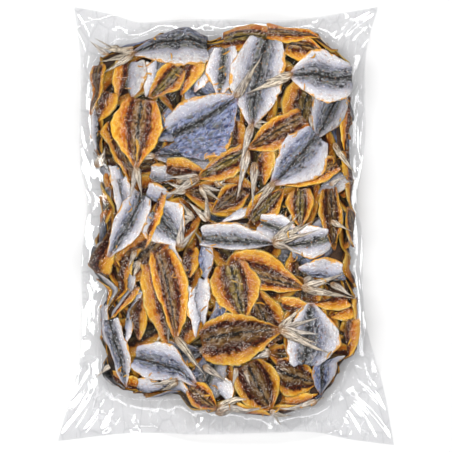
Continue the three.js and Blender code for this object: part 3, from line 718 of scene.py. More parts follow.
def pack_fish(finishes):
    """The whole heap: the hidden fish, those round the wall, those that show, and the tails."""
    hidden, shown, under = ([Batch(), Batch()] for _ in range(3))
    tails, scraps = Batch(), Batch()
    top = Relief(FILL_START)
    lay(hidden, scattered(8, 11, 1.0), top, PLAIN)
    nearly_hidden = scattered(5, 8, 0.96)
    lay(hidden, nearly_hidden, top, PLAIN)
    lay(hidden, round_the_wall(9), top, PLAIN)
    for fish in nearly_hidden:
        add_tail(tails, fish, top)
    fishes = [Fish(FLESH if look in FLESH_LOOKS else SKIN, look, *rest) for look, *rest in SHOWN]
    fishes.sort(key=lambda fish: fish.layer)
    lay(shown, fishes, top, FINE)
    for lobe in LOOSE_LOBES:
        add_lobe(tails, lobe[:2], lobe[2:], top)
    for fish in fishes:
        for tip in fish.lobes:
            add_lobe(tails, fish.tail_root(), tip, top)
    for fish in fishes:
        for _ in range(SCRAPS_PER_FISH):
            s, t = np.array(DRAW.uniform(0, 0.9)), np.array(DRAW.choice([-1.0, 1.0]) * DRAW.uniform(0.8, 1.1))
            add_scrap(scraps, *fish.place(s, t), DRAW.uniform(0, 6.3), DRAW.uniform(2, 8), top)
    lay(under, scattered(5, 7, 0.98), Relief(UNDER_START), PLAIN, facing=-1)
    pieces = [
        (hidden[SKIN], "hidden_skin_up", "skin_side"), (hidden[FLESH], "hidden_flesh_up", "flesh_side"),
        (shown[SKIN], "skin_up", "skin_side"), (shown[FLESH], "flesh_up", "flesh_side"),
        (under[SKIN], "underneath_skin", "skin_side"), (under[FLESH], "underneath_flesh", "flesh_side"),
        (tails, "tails_and_fins", "fins"), (scraps, "scraps", "flesh_side"),
    ]
    made = [(batch.build(name, finishes[slot]), slot) for batch, name, slot in pieces]
    laid = [body[0] for batch in (*shown, *hidden, tails) for body in batch.bodies]
    return made, top, laid


def field_edge(per_corner, per_side):
    """Places round the flat field's edge, with their ways out."""
    places = []
    straight = HALF - CORNER
    ways = ((1, 1), (-1, 1), (-1, -1), (1, -1))
    for corner, way in enumerate(ways):
        for k in range(per_corner + 1):
            angle = math.pi / 2 * (corner + k / per_corner)
            out = np.array([math.cos(angle), math.sin(angle)])
            places.append((CENTRE + straight * way + out * CORNER, out))
        start, end = places[-1][0], CENTRE + straight * ways[(corner + 1) % 4] + out * CORNER
        places += [(mix(start, end, k / per_side), out) for k in range(1, per_side)]
    return places


def make_core(finish):
    """What lies between the fish: the inside of the heap, with no fish of its own, coloured near black as
    painted shade for the gaps.
    """
    radius = WALL - CORE_SINK
    top, bottom = MIDDLE_Z + radius, MIDDLE_Z - radius
    turns = [(math.sin(a), math.cos(a)) for a in np.linspace(0, math.pi, 9)]
    rings = []
    for place, out in field_edge(6, 16):
        inner = [[*mix(CENTRE, place, f), top + DOME * (1 - f * f)] for f in CORE_STEPS]
        wall = [[*(place + out * radius * across), MIDDLE_Z + radius * up] for across, up in turns]
        outer = [[*mix(CENTRE, place, f), bottom] for f in CORE_STEPS[::-1]]
        rings.append([[*CENTRE, top + DOME], *inner, *wall, *outer, [*CENTRE, bottom]])
    rings = np.array(rings)
    move_x, move_y = outline_shift(rings[..., 0], rings[..., 1])
    rings = rings + np.stack([move_x, move_y, np.zeros_like(move_x)], -1)
    rows, around = rings.shape[:2]
    share = np.meshgrid(np.linspace(0, 1, rows), np.linspace(0, 1, around), indexing="ij")
    batch = Batch()
    faces = split_quads(sheet_quads(rows, around, closed=True)[:, [0, 3, 2, 1]])
    batch.add(rings, faces, NO_TINT, share, share, share)
    return batch.build("inside_of_heap", finish)


# ---------------------------------------------------------------- the film

FLAT_POUCH = (250.0, 350.0)
MARGIN_BAND = 0.16        # share of the pouch's width and height that each margin takes
FILM_ACROSS = (52, 112)   # film cells in each margin and in the middle, across and down
FILM_DOWN = (44, 190)
CURVE_STEPS = 40          # between two points of the outline
XY_REACH = (134.0, 172.0)
HEAP_STEP = 0.6
SEAL_Z = 2.2
LOOSE_Z = MIDDLE_Z - 5    # height at which the upper film leaves the wall
LOOSE = 4.0               # how far inside the wall's foot that is
BRIDGED = 5               # cells each way over which the film bridges what is low
FALL = 1.25               # how steeply it falls from the heap's edge at first
FALL_STEPS = 26
DIAGONAL = 1.414          # cells between two that meet at a corner
FLOOR_Z = 0.06            # the lowest that the lower film gets
BETWEEN_FILMS = 0.15


def film_lines(margin, middle):
    """Shares of the pouch at which its mesh has a line, closer together in the margins."""
    edge = np.linspace(0, MARGIN_BAND, margin, endpoint=False)
    inner = np.linspace(MARGIN_BAND, 1 - MARGIN_BAND, middle, endpoint=False)
    return np.concatenate([edge, inner, 1 - edge[::-1]])


def between(low, high, x, first, second):
    """The straight line's value at x that is first at low and second at high."""
    return ((high - x) * first + (x - low) * second) / (high - low)


def smooth_run(points, shares):
    """Places along a centripetal curve through the points, at these shares of its length."""
    points = np.array(points, float)
    ends = [2 * points[0] - points[1], *points, 2 * points[-1] - points[-2]]
    dense = []
    for k in range(1, len(ends) - 2):
        p = np.array(ends[k - 1:k + 3])
        gaps = np.maximum(np.linalg.norm(np.diff(p, axis=0), axis=1), 1e-6) ** 0.5
        knots = np.concatenate([[0], np.cumsum(gaps)])
        x = np.linspace(knots[1], knots[2], CURVE_STEPS, endpoint=False)[:, None]
        a = [between(knots[i], knots[i + 1], x, p[i], p[i + 1]) for i in range(3)]
        b = [between(knots[i], knots[i + 2], x, a[i], a[i + 1]) for i in range(2)]
        dense.append(between(knots[1], knots[2], x, *b))
    dense = np.concatenate([*dense, points[-1:]])
    run = np.concatenate([[0], np.cumsum(np.linalg.norm(np.diff(dense, axis=0), axis=1))])
    return np.stack([np.interp(shares * run[-1], run, dense[:, axis]) for axis in (0, 1)], -1)


def pouch_sheet():
    """Places of the flat pouch, drawn in to its outline, and their shares across and up."""
    top, right, bottom, left = POUCH_SIDES
    a, b = film_lines(*FILM_ACROSS), film_lines(*FILM_DOWN)
    top, bottom = smooth_run(top, a), smooth_run(bottom, 1 - a)
    right, left = smooth_run(right, b), smooth_run(left, 1 - b)
    a, b = a[None, :, None], b[:, None, None]
    sides = mix(top[None], bottom[None], b) + mix(left[:, None], right[:, None], a)
    corners = mix(mix(top[0], top[-1], a), mix(bottom[0], bottom[-1], a), b)
    return np.moveaxis(sides - corners, -1, 0), np.broadcast_arrays(a[..., 0], 1 - b[..., 0])


def heap_heights(relief, laid):
    """The heap's height seen from above, with all that was laid on it, on a grid of 1 mm."""
    u, v = np.meshgrid(*(np.arange(-reach, reach, HEAP_STEP) for reach in REACH))
    near = from_field(u, v)[4] < WALL * 1.6
    points = np.concatenate([on_heap(u[near], v[near], relief.at(u[near], v[near])), *laid])
    grid = np.zeros((int(2 * XY_REACH[1]) + 1, int(2 * XY_REACH[0]) + 1))
    i, j = (np.round(points[:, axis] + XY_REACH[axis]).astype(int) for axis in (0, 1))
    np.maximum.at(grid, (j, i), points[:, 2])
    return grid


def film_over(grid):
    """The height of a film drawn tight over the heap: it bridges the gaps and falls off the wall."""
    rows, columns = grid.shape
    closed = lowest(highest(grid, BRIDGED), BRIDGED - 1)
    for step in range(FALL_STEPS):
        slope = FALL * (1.0 - 0.6 * step / FALL_STEPS)
        padded = np.pad(closed, 1, mode="edge")
        for j, i in np.ndindex(3, 3):
            drop = slope * (DIAGONAL if j != 1 and i != 1 else 1.0)
            closed = np.maximum(closed, padded[j:j + rows, i:i + columns] - drop)
    return np.maximum(even_out(closed, 1), closed - 0.2)


# Creases of the margin: from x and y, to x and y, height and half width at the middle.
CREASES = [
    # top left corner
    (-100, 139, -112, 161, 1.0, 0.8), (-97, 143, -104, 160, 0.8, 0.7), (-90, 146, -92, 158, 0.7, 0.7),
    (-104, 130, -113, 150, 0.8, 0.7), (-84, 148, -80, 158, 0.7, 0.7), (-104, 150, -88, 154, 0.7, 0.7),
    (-70, 153, -64, 142, 2.0, 2.2), (-58, 149, -61, 142, 1.5, 1.6), (-76, 145, -56, 143, 1.4, 1.6),
    # top edge
    (-18, 150, -4, 143, 1.6, 1.8), (-8, 152, 6, 146, 1.2, 1.4), (16, 151, 32, 149, 1.0, 1.6),
    (-40, 150, -30, 144, 1.2, 1.8), (44, 152, 50, 144, 1.0, 1.6),
    # top right corner
    (80, 134, 112, 161, 2.6, 2.0), (92, 136, 104, 149, 1.8, 1.4), (105, 153, 110, 141, 1.6, 1.4),
    (84, 149, 104, 153, 1.6, 1.5), (78, 139, 92, 158, 1.4, 1.5), (97, 130, 112, 152, 1.4, 1.6),
    (62, 146, 72, 156, 1.2, 1.8),
    # right side
    (98, 120, 99, 60, 1.8, 1.4), (101, 95, 102, 40, 1.3, 1.0), (96, 58, 98, 24, 1.8, 1.4),
    (99, 10, 97, -40, 1.8, 1.4), (102, -10, 103, -60, 1.3, 1.0), (98, -30, 101, -84, 1.7, 1.4),
    (93, 30, 97, 12, 1.9, 1.6), (93, 4, 98, 14, 1.7, 1.4),
    # left side
    (-104, 130, -103, 92, 1.0, 1.4), (-106, 86, -104, 60, 1.2, 1.2), (-107, 58, -98, 28, 1.8, 1.8),
    (-108, 40, -100, 20, 1.4, 1.4), (-103, 16, -106, -20, 1.2, 1.4), (-105, -30, -104, -80, 1.2, 1.2),
    (-99, 22, -103, 12, 1.4, 1.6),
    # bottom left corner
    (-93, -110, -124, -158, 2.8, 2.2), (-96, -118, -118, -156, 2.0, 1.8), (-86, -122, -108, -156, 2.2, 1.8),
    (-99, -104, -119, -132, 1.8, 1.6), (-104, -100, -112, -126, 1.2, 1.2), (-80, -128, -92, -154, 1.8, 2.0),
    # bottom edge
    (-84, -137, -91, -154, 4.0, 3.4), (-67, -139, -69, -154, 3.3, 2.8), (-47, -137, -49, -150, 3.2, 2.8),
    (-14, -139, -21, -153, 4.0, 3.4), (31, -138, 33, -151, 3.7, 3.2), (87, -143, 90, -155, 3.5, 3.0),
    (-72, -130, -70, -153, 2.2, 2.6), (-66, -136, -62, -150, 1.6, 1.6), (-60, -128, -38, -134, 1.4, 1.4),
    (-50, -136, -46, -150, 1.6, 2.0), (-26, -136, -16, -150, 1.6, 2.0), (-12, -136, -20, -152, 1.4, 1.8),
    (0, -137, 56, -139, 1.2, 1.4), (30, -138, 34, -152, 1.8, 2.2), (44, -138, 40, -150, 1.4, 1.6),
    (62, -136, 66, -152, 1.6, 2.2),
    # bottom right corner
    (88, -122, 124, -162, 2.8, 2.2), (84, -132, 100, -157, 2.2, 2.2), (92, -112, 120, -140, 2.2, 1.8),
    (96, -104, 112, -122, 1.6, 1.4), (78, -136, 84, -156, 1.8, 2.0), (90, -128, 112, -160, 1.8, 1.4),
    (101, -98, 116, -132, 1.2, 1.2),
]

CREASE_SHARE = 0.22
TENT = 1.25           # how many half widths from its ridge a crease reaches
SMALL_CREASES = 110


def small_creases():
    """The many short creases of the margin: down the sides, and outwards at the top and bottom."""
    creases = []
    for k in range(SMALL_CREASES):
        half = DRAW.uniform(0.7, 1.5)
        height = DRAW.uniform(0.14, 0.25) * TENT * half / CREASE_SHARE
        way = 1 if k % 2 else -1
        if k % 5 < 3:
            x, y = way * DRAW.uniform(92, 101) - 2, DRAW.uniform(-120, 130)
            angle, length = math.pi / 2 + DRAW.uniform(-0.3, 0.3), DRAW.uniform(8, 24)
        else:
            x, y = DRAW.uniform(-92, 92), DRAW.uniform(141, 150) * way
            angle, length = math.pi / 2 + DRAW.uniform(-0.9, 0.9), DRAW.uniform(6, 15)
        run = np.array([math.cos(angle), math.sin(angle)]) * length / 2
        creases.append((x - run[0], y - run[1], x + run[0], y + run[1], height, half))
    return creases


def crease_heights(x, y):
    """All creases together, each a tent with a ridge that bows, and dies away at both ends."""
    total = np.zeros_like(x)
    for from_x, from_y, to_x, to_y, height, half in CREASES + small_creases():
        run = np.array([to_x - from_x, to_y - from_y], float)
        length = np.hypot(*run)
        ahead = run / length
        along = ((x - from_x) * ahead[0] + (y - from_y) * ahead[1]) / length
        bow = 0.05 * length * np.sin(math.pi * clamp(along, 0, 1)) * (1 if height > 1.5 else -1)
        off = np.abs((y - from_y) * ahead[0] - (x - from_x) * ahead[1] - bow)
        window = ease(along, -0.12, 0.3) * (1 - ease(along, 0.7, 1.12))
        total += CREASE_SHARE * height * window * clamp(1 - off / (TENT * half), 0, 1)
    return total


def margin_heights(x, y, loose, to_edge, outside):
    """The margin's height: from the wall down to the seal, with long waves in it."""
    run = clamp(loose / np.maximum(loose + to_edge, 1), 0, 1)
    level = mix(LOOSE_Z, SEAL_Z, 1 - (1 - run) ** (2.5 + 5 * grain(x / 16, y / 16 + 9)))
    bent = x + 5 * grain(x / 30, y / 30)
    flutter = 0.6 * (grain(bent / 9, y / 34) - 0.5)
    return level + (flutter + 1.2 * (grain(x / 22, y / 22 + 30) - 0.5)) * outside * ease(to_edge, -2, 8)


def make_film(relief, laid, finish):
    """The upper and the lower film, together at the seal and apart round the heap."""
    (x, y), share = pouch_sheet()
    tent = sample(film_over(heap_heights(relief, laid)), x + XY_REACH[0], y + XY_REACH[1])
    move_x, move_y = outline_shift(x, y)
    beyond = from_field(x - move_x, y - move_y)[4]
    to_edge = np.minimum(*(np.minimum(part, 1 - part) * size for part, size in zip(share, FLAT_POUCH)))
    outside = ease(beyond, WALL - LOOSE, WALL + 5)
    level = margin_heights(x, y, beyond - WALL + LOOSE, to_edge, outside)
    creases = crease_heights(x, y) * outside * ease(to_edge, -1.5, 5)
    upper = np.where(beyond > 0, np.maximum(level, tent), tent) + creases
    bulge = clamp(beyond, 0, WALL + 3) / (WALL + 3)
    wall = MIDDLE_Z - (MIDDLE_Z - 0.1) * np.sqrt(1 - bulge ** 2)
    lower = np.minimum(np.minimum(level, wall) + 0.7 * creases, upper - BETWEEN_FILMS)
    lower = np.maximum(np.where(beyond > 0, lower, 0.08), FLOOR_Z)
    upper = np.maximum(upper, lower + BETWEEN_FILMS)
    faces = split_quads(sheet_quads(*x.shape))
    hold = 1 - ease(beyond, WALL - 6, WALL + 2), 1 - ease(to_edge, 5.0, 8.0)
    pieces = []
    for name, z, order in (("film_upper", upper, faces), ("film_lower", lower, faces[:, ::-1])):
        batch = Batch()
        batch.add(np.stack([x, y, z], -1), order, NO_TINT, hold, (x / 10, y / 10), share)
        pieces.append(batch.build(name, finish))
    return pieces


# ---------------------------------------------------------------- finishes


class Field:
    """A value that varies over a surface: sums written with it add Math nodes."""

    def __init__(self, finish, socket):
        self.finish = finish
        self.socket = socket

    def maths(self, operation, first, second):
        return self.finish.node("ShaderNodeMath", {"operation": operation}, {0: first, 1: second})

    def __add__(self, other):
        return self.maths("ADD", self, other)

    __radd__ = __add__

    def __sub__(self, other):
        return self.maths("SUBTRACT", self, other)

    def __rsub__(self, other):
        return self.maths("SUBTRACT", other, self)

    def __mul__(self, other):
        return self.maths("MULTIPLY", self, other)

    __rmul__ = __mul__

    def __pow__(self, other):
        return self.maths("POWER", self, other)

    def __abs__(self):
        return self.maths("ABSOLUTE", self, 0.0)


def linear(tone):
    """A colour read off the photograph as 0 to 255, made linear."""
    shares = [value / 255 for value in tone]
    return (*(s / 12.92 if s <= 0.04045 else ((s + 0.055) / 1.055) ** 2.4 for s in shares), 1.0)


class Finish:
    """One material, written as sums on the fields of its surface."""

    def __init__(self, name):
        self.material = bpy.data.materials.new(name)
        self.material.use_nodes = True
        self.tree = self.material.node_tree
        self.tree.nodes.clear()

    def node(self, kind, settings=None, sockets=None, out=0):
        made = self.tree.nodes.new(kind)
        for key, value in (settings or {}).items():
            setattr(made, key, value)
        for key, value in (sockets or {}).items():
            if isinstance(value, Field):
                self.tree.links.new(value.socket, made.inputs[key])
            else:
                made.inputs[key].default_value = value
        return Field(self, made.outputs[out]) if made.outputs else None

    def uv(self, name):
        return self.node("ShaderNodeUVMap", {"uv_map": name})

    def parts(self, vector):
        split = self.node("ShaderNodeSeparateXYZ", sockets={0: vector})
        return [Field(self, socket) for socket in split.socket.node.outputs]

    def tint(self):
        """Shade, hue, age and lean of each fish."""
        draws = self.node("ShaderNodeAttribute", {"attribute_name": "tint"}, out="Color")
        return self.parts(draws) + [Field(self, draws.socket.node.outputs["Alpha"])]

    def stretched(self, vector, x, y):
        return self.node("ShaderNodeVectorMath", {"operation": "MULTIPLY"}, {0: vector, 1: (x, y, 1.0)})

    def noise(self, vector, scale, detail=3.0, rough=0.55, warp=0.0):
        return self.node("ShaderNodeTexNoise", None, {
            "Vector": vector, "Scale": scale, "Detail": detail, "Roughness": rough, "Distortion": warp})

    def lines(self, vector, scale, width):
        """Straight lines where cells meet."""
        settings = {"voronoi_dimensions": "2D", "feature": "DISTANCE_TO_EDGE"}
        edge = self.node("ShaderNodeTexVoronoi", settings, {"Vector": vector, "Scale": scale})
        return 1 - self.step(edge, 0.0, width)

    def step(self, value, low, high):
        """From 0 to 1 as the value goes from low to high."""
        return self.node("ShaderNodeMapRange", {"interpolation_type": "SMOOTHSTEP"}, {
            "Value": value, "From Min": low, "From Max": high})

    def blend(self, share, first, second, way="MIX"):
        first, second = (linear(tone) if isinstance(tone, tuple) else tone for tone in (first, second))
        return self.node("ShaderNodeMix", {"data_type": "RGBA", "blend_type": way}, {
            0: share, 6: first, 7: second}, out=2)

    def turning(self, value, low, high, first, second):
        """A colour that turns from the first to the second as the value goes from low to high."""
        return self.blend(self.step(value, low, high), first, second)

    def coats(self, body, *coats):
        """Colours laid on a body: each where its value goes from low to high, at its strength."""
        for value, low, high, strength, tone in coats:
            body = self.blend(self.step(value, low, high) * strength, body, tone)
        return body

    def dimmed(self, body, value):
        grey = self.node("ShaderNodeCombineColor", None, {0: value, 1: value, 2: value})
        return self.blend(1.0, body, grey, "MULTIPLY")

    def bump(self, height, distance):
        return self.node("ShaderNodeBump", None, {"Height": height, "Distance": distance, "Strength": 1.0})

    def through(self, red, green, blue):
        return self.node("ShaderNodeBsdfTransparent", None, {"Color": (red, green, blue, 1.0)})

    def over(self, share, below, above):
        return self.node("ShaderNodeMixShader", None, {0: share, 1: below, 2: above})

    def surface(self, **sockets):
        return self.close(self.node("ShaderNodeBsdfPrincipled", None, {
            key.replace("_", " "): value for key, value in sockets.items()}))

    def close(self, shader):
        self.node("ShaderNodeOutputMaterial", None, {"Surface": shader})
        return self.material


def flesh_finish():
    """The opened side: a dark groove, an olive middle, dark red-brown bands and an amber rim."""
    f = Finish("dried_flesh")
    lie = f.uv("lie")
    along, across, _ = f.parts(f.uv("fish"))
    shade, hue, age, lean = f.tint()
    streaks = f.noise(f.stretched(lie, 1.0, 2.2), 2.1, 4.0, 0.58, 0.8)
    blots = f.noise(lie, 1.3, 4.0, 0.6, 0.6)
    spots = f.noise(lie, 5.0, 3.0, 0.6, 0.4)
    specks = f.noise(lie, 10.0, 2.0, 0.6)
    off = abs(across)
    away = off + (lean - 0.5) * across * 0.24
    away = away + (blots - 0.5) * 0.42 + (streaks - 0.5) * 0.22 + (spots - 0.5) * 0.12
    # the thick rim
    # the palest yellow at the rim's outer edge is partly the thin flesh's own colour and partly a painted
    # highlight along the rolled rim
    pale_edge_and_highlight = f.step(off + (spots - 0.5) * 0.2, 0.84, 0.98)
    amber = f.coats(
        f.turning(away, 0.56, 0.98, (192, 94, 4), (255, 190, 54)),
        (streaks, 0.46, 0.58, 0.4, (255, 214, 102)),
        (blots, 0.5, 0.6, 0.3 + age * 0.4, (202, 104, 8)),
        (spots, 0.54, 0.62, 0.35, (224, 140, 26)),
        (blots, 0.38, 0.6, pale_edge_and_highlight * 0.75, (255, 230, 140)))
    # the dark band beside it
    blood = f.coats(
        f.turning(spots, 0.44, 0.6, (34, 8, 6), (104, 40, 12)),
        (specks, 0.54, 0.64, 0.3, (170, 92, 56)))
    # the middle
    brown = f.turning(streaks, 0.38, 0.62, (82, 50, 18), (164, 118, 58))
    olive = f.turning(streaks, 0.38, 0.62, (84, 70, 18), (180, 152, 64))
    bank = f.step(off, 0.06, 0.14) * (1 - f.step(off, 0.16, 0.3))
    middle = f.coats(
        f.turning(hue + (blots - 0.5) * 1.6, 0.25, 0.95, brown, olive),
        (blots, 0.48, 0.56, 0.5, (98, 48, 14)),
        (spots, 0.55, 0.63, 0.4, (206, 178, 120)),
        (specks, 0.55, 0.63, 0.2, (40, 32, 26)),
        (streaks, 0.48, 0.6, bank * 0.4, (204, 184, 146)))
    groove = 1 - f.step(off + (streaks - 0.5) * 0.24, 0.03, 0.11)
    middle = f.blend(groove * 0.94, middle, (24, 27, 30))
    # all of it together
    rim = 0.38 + age * 0.2
    body = f.turning(away, rim - 0.22 - age * 0.1, rim - 0.12, middle, blood)
    body, amber = f.dimmed(body, 0.37 + shade * 0.5), f.dimmed(amber, 0.53 + shade * 0.3)
    body = f.turning(away, rim - 0.01, rim + 0.17, body, amber)
    body = f.coats(body, (along + (blots - 0.5) * 0.2, 0.86, 0.97, 0.6, (166, 100, 32)))
    neck = 1 - f.step(along + (spots - 0.5) * 0.14, 0.0, 0.06)
    body = f.blend(neck * 0.5, body, (128, 74, 30))
    # white specks painted into the colour: painted glints, partly also crystals on the dried flesh; they sit
    # in patches and stay off the darkened fish
    glint_patches = f.step(blots + (spots - 0.5) * 0.5, 0.46, 0.58) * (1 - f.step(away, 0.62, 0.9) * 0.7)
    glints = f.step(f.noise(lie, 11.0, 2.0, 0.7, 0.2), 0.555, 0.6) * glint_patches
    body = f.coats(body, (shade, -0.1, 0.3, glints * 0.8, (250, 240, 226)))
    height = streaks * 0.6 + spots * 0.6 + specks * 0.35 + blots * 0.7 + glints * 0.3
    return f.surface(Base_Color=body, Roughness=0.2 + spots * 0.3, Normal=f.bump(height, 0.0016),
                     Specular_IOR_Level=0.1)


def skin_finish():
    """The skin side: a dark back, steel blue beside it, a yellow stripe, silver to the edge."""
    f = Finish("dried_skin")
    lie = f.uv("lie")
    along, across, _ = f.parts(f.uv("fish"))
    shade, hue, age, lean = f.tint()
    wrinkles = f.noise(f.stretched(lie, 1.0, 2.4), 2.2, 4.0, 0.6, 1.0)
    cross = f.noise(f.stretched(lie, 1.8, 2.2), 2.4, 4.0, 0.6, 0.8)
    blots = f.noise(lie, 1.3, 4.0, 0.6, 0.6)
    spots = f.noise(f.stretched(lie, 0.8, 1.3), 6.0, 3.0, 0.6, 0.4)
    off = abs(across)
    away = off + (blots - 0.5) * 0.4 + (wrinkles - 0.5) * 0.2 + (spots - 0.5) * 0.12
    dark_side = away - (lean - 0.5) * across * 1.3
    reach = 0.22 + hue * 0.24 - shade * 0.1
    blue = f.step(hue + (blots - 0.5) * 1.8 + (lean - 0.5) * across * 1.2, 0.35, 0.95)
    silver = f.coats(
        f.turning(off + (blots - 0.5) * 0.8, 0.35, 1.0, (182, 181, 192), (246, 242, 238)),
        (wrinkles, 0.5, 0.62, 0.65 - shade * 0.35, (150, 149, 162)),
        (cross, 0.54, 0.64, 0.3, (236, 224, 204)),
        (spots, 0.58, 0.66, 0.3, (150, 148, 156)))
    silver = f.blend(blue * 0.45, silver, (168, 174, 204))
    grey = f.turning(wrinkles, 0.44, 0.6, (34, 33, 36), (142, 140, 143))
    steel = f.coats(
        f.turning(wrinkles, 0.42, 0.58, (52, 62, 104), (156, 170, 214)),
        (cross, 0.46, 0.58, 0.45, (96, 102, 118)))
    # the light flecks on the steel zone and the back are partly the skin's own silvery flecks and partly
    # painted glints
    steel = f.coats(
        f.blend(blue, grey, steel),
        (spots, 0.52, 0.6, 0.45, (214, 217, 226)),
        (blots, 0.5, 0.58, 0.5, (72, 76, 76)))
    back = f.coats(
        f.turning(wrinkles, 0.4, 0.62, (30, 29, 28), (92, 92, 88)),
        (spots, 0.54, 0.6, 0.5, (178, 180, 184)))
    body = f.turning(away, 0.05, 0.24, back, steel)
    body = f.turning(dark_side, reach, reach + 0.36, body, silver)
    stripe = f.step(away, reach - 0.14, reach - 0.05) * (1 - f.step(away, reach, reach + 0.1))
    body = f.coats(body, (blots + (spots - 0.5) * 0.4, 0.46, 0.56, stripe * 0.3, (152, 146, 104)))
    spine = 1 - f.step(off + (wrinkles - 0.5) * 0.14, 0.015, 0.06)
    body = f.blend(spine * 0.85, body, (22, 19, 20))
    # what the knife left at the edge, the tail's root, and flecks and rust from drying
    worn = f.noise(lie, 0.9, 2.0)
    to_edge = off + (spots - 0.5) * 0.3 + (blots - 0.5) * 0.3 + (worn - 0.5) * 0.6
    flecks = f.step(f.noise(lie, 3.4, 3.0, 0.66), 0.6, 0.63)
    body = f.coats(
        body,
        (to_edge, 0.91, 0.97, 0.9, (246, 176, 48)),
        (along + (blots - 0.5) * 0.2, 0.9, 0.99, 0.5, (176, 112, 52)),
        (off, 0.3, 0.95, flecks * (0.35 + age * 0.6), (214, 138, 58)),
        (f.noise(lie, 5.2, 2.0, 0.6), 0.64, 0.67, 0.7, (184, 120, 58)))
    body = f.dimmed(body, 0.53 + shade * 0.45)
    height = wrinkles * 0.7 + cross * 0.5 + spots * 0.4 + blots * 0.8
    return f.surface(Base_Color=body, Roughness=0.32 + cross * 0.25, Normal=f.bump(height, 0.0018),
                     Specular_IOR_Level=0.14)


def fin_finish():
    """Dried rays: orange at the root, beige and grey towards the tip, with dark lines."""
    f = Finish("dried_fins")
    along, _, _ = f.parts(f.uv("fish"))
    shade, hue, _, _ = f.tint()
    lines = f.noise(f.stretched(f.uv("lie"), 0.8, 4.5), 2.4, 3.0, 0.6, 0.4)
    body = f.coats(
        f.turning(lines, 0.36, 0.6, (112, 98, 84), (236, 220, 196)),
        (hue, 0.3, 1.0, 0.4, (176, 172, 174)),
        (along, 0.75, 1.0, 0.3, (150, 142, 136)))
    root = 1 - f.step(along + (lines - 0.5) * 0.5, 0.02, 0.3)
    body = f.dimmed(f.blend(root * 0.75, body, (152, 102, 30)), 0.7 + shade * 0.28)
    return f.surface(Base_Color=body, Roughness=0.5 + lines * 0.2, Normal=f.bump(lines, 0.0007),
                     Specular_IOR_Level=0.25)


def core_finish():
    """The inside of the heap, painted near black: painted shade for the deep gaps between the fish."""
    f = Finish("inside_of_heap")
    lumps = f.noise(f.node("ShaderNodeTexCoord", out="Object"), 60.0, 4.0, 0.6)
    # near-black browns: painted shade, not the colour of the packed fish
    body = f.turning(lumps, 0.35, 0.65, (26, 18, 14), (64, 42, 24))
    return f.surface(Base_Color=body, Roughness=0.6, Normal=f.bump(lumps, 0.002), Specular_IOR_Level=0.15)


def film_finish():
    """Clear glossy film: it dims what is behind it a little and mirrors the lights. Darker lines along its
    folds are painted shade, and white lines along its creases are partly its own haze and partly painted
    highlights.
    """
    f = Finish("clear_film")
    flat = f.uv("lie")
    cling, seal, _ = f.parts(f.uv("fish"))
    loose = 1 - cling
    folds = f.noise(f.stretched(flat, 1.0, 0.4), 0.9, 1.0, 0.5, 0.6)
    fine = f.noise(flat, 5.0, 3.0, 0.55, 0.8)
    upright, level, close, folded = [
        f.lines(f.stretched(flat, x, y), scale, width) for x, y, scale, width in
        ((1.0, 0.4, 0.7, 0.035), (0.5, 1.0, 0.55, 0.03), (1.8, 0.5, 0.8, 0.06), (1.0, 0.6, 0.8, 0.06))]
    patches = f.step(f.noise(flat, 0.7, 2.0), 0.46, 0.62)
    crease_haze_and_sheen = (upright + level + close) * patches * loose * (1 - seal * 0.6)
    normal = f.bump(folds * (0.14 + loose * 0.04) + fine * cling * 0.17, 0.0026)
    milky = f.node("ShaderNodeBsdfDiffuse", None, {"Color": (0.9, 0.9, 0.91, 1.0)})
    gloss = f.node("ShaderNodeBsdfGlossy", None, {"Color": (1, 1, 1, 1), "Roughness": 0.05, "Normal": normal})
    # the dimmer transparency along the fold lines is painted shade
    film = f.over(folded * loose * 0.22, f.through(0.957, 0.957, 0.962), f.through(0.7, 0.7, 0.72))
    # the white diffuse lines along the creases are partly the creased film's haze and partly painted
    # highlights
    film = f.over(crease_haze_and_sheen * 0.2 + loose * 0.03, film, milky)
    facing = f.node("ShaderNodeLayerWeight", None, {"Blend": 0.5, "Normal": normal}, out="Facing")
    share = (0.045 + facing ** 5) * (0.18 + loose * 0.92) + seal * 0.02
    return f.close(f.over(share, film, gloss))


# ---------------------------------------------------------------- the studio

FLOOR_SIDE = 2.5      # metres, as all of the studio
FLOOR_DROP = 0.0004
FRAME_SIDE = 0.3345   # what the photograph's frame spans at the pouch
EYE_HEIGHT = 2.0
SHARP_AT = 0.014      # height at which the frame has that size
SENSOR = 36.0
SKY = 0.27
LIGHTS = (            # name, place, size and power
    ("left_box", (-1.0, 0.0, 1.9), (0.36, 1.5), 33.0),
    ("right_box", (1.0, 0.0, 1.9), (0.36, 1.3), 15.5),
    ("top_box", (0.0, 1.05, 1.9), (1.5, 0.34), 25.0),
    ("bottom_strip", (0.0, -1.0, 1.9), (1.3, 0.3), 9.5),
)


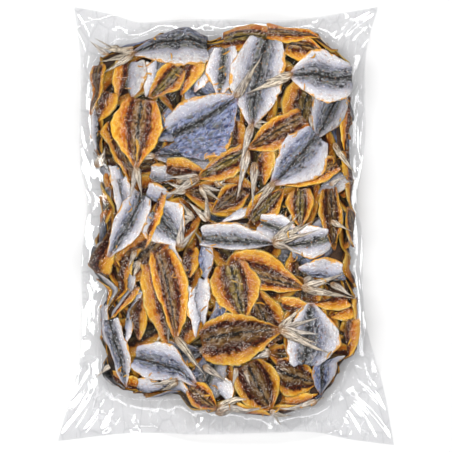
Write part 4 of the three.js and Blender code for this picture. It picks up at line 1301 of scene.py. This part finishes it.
def make_floor():
    mesh = bpy.data.meshes.new("floor")
    corners = [(x * FLOOR_SIDE, y * FLOOR_SIDE, -FLOOR_DROP) for x, y in ((-1, -1), (1, -1), (1, 1), (-1, 1))]
    mesh.from_pydata(corners, [], [(0, 1, 2, 3)])
    f = Finish("pale_floor")
    place = f.node("ShaderNodeTexCoord", out="Object")
    body = f.blend(f.noise(place, 3.0) * 0.3, (206, 206, 206), (202, 202, 203))
    mesh.materials.append(f.surface(Base_Color=body, Roughness=0.9, Specular_IOR_Level=0.0))
    floor = set_out("floor", mesh)


def make_studio():
    scene = bpy.context.scene
    scene.world = bpy.data.worlds.new("studio")
    scene.world.use_nodes = True
    sky = scene.world.node_tree.nodes["Background"].inputs
    sky["Color"].default_value = (1.0, 1.0, 1.0, 1.0)
    sky["Strength"].default_value = SKY
    for name, place, size, power in LIGHTS:
        light = bpy.data.lights.new(name, "AREA")
        light.shape = "RECTANGLE"
        light.size, light.size_y = size
        light.energy = power
        lamp = set_out(name, light)
        lamp.location = place
        lamp.rotation_euler = (Vector((0, 0, 0)) - Vector(place)).to_track_quat("-Z", "Y").to_euler()
        lamp.visible_camera = False
    scene.view_settings.view_transform = "Standard"
    scene.view_settings.look = "None"


def make_camera():
    camera = bpy.data.cameras.new("overhead")
    camera.sensor_width = SENSOR
    camera.lens = SENSOR * (EYE_HEIGHT - SHARP_AT) / FRAME_SIDE
    camera.clip_end = 20
    eye = set_out("overhead", camera)
    eye.location = (0, 0, EYE_HEIGHT)
    bpy.context.scene.camera = eye


def main():
    finishes = {
        "flesh_side": flesh_finish(),
        "skin_side": skin_finish(),
        "fins": fin_finish(),
        "packed_fish": core_finish(),
        "film": film_finish(),
    }
    pieces, relief, laid = pack_fish(finishes)
    pieces.append((make_core(finishes["packed_fish"]), "packed_fish"))
    pieces += [(film, "film") for film in make_film(relief, laid, finishes["film"])]
    for piece, slot in pieces:
        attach(piece, "root")
        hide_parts(BAG_NODE)
    make_floor()
    make_studio()
    make_camera()


main()
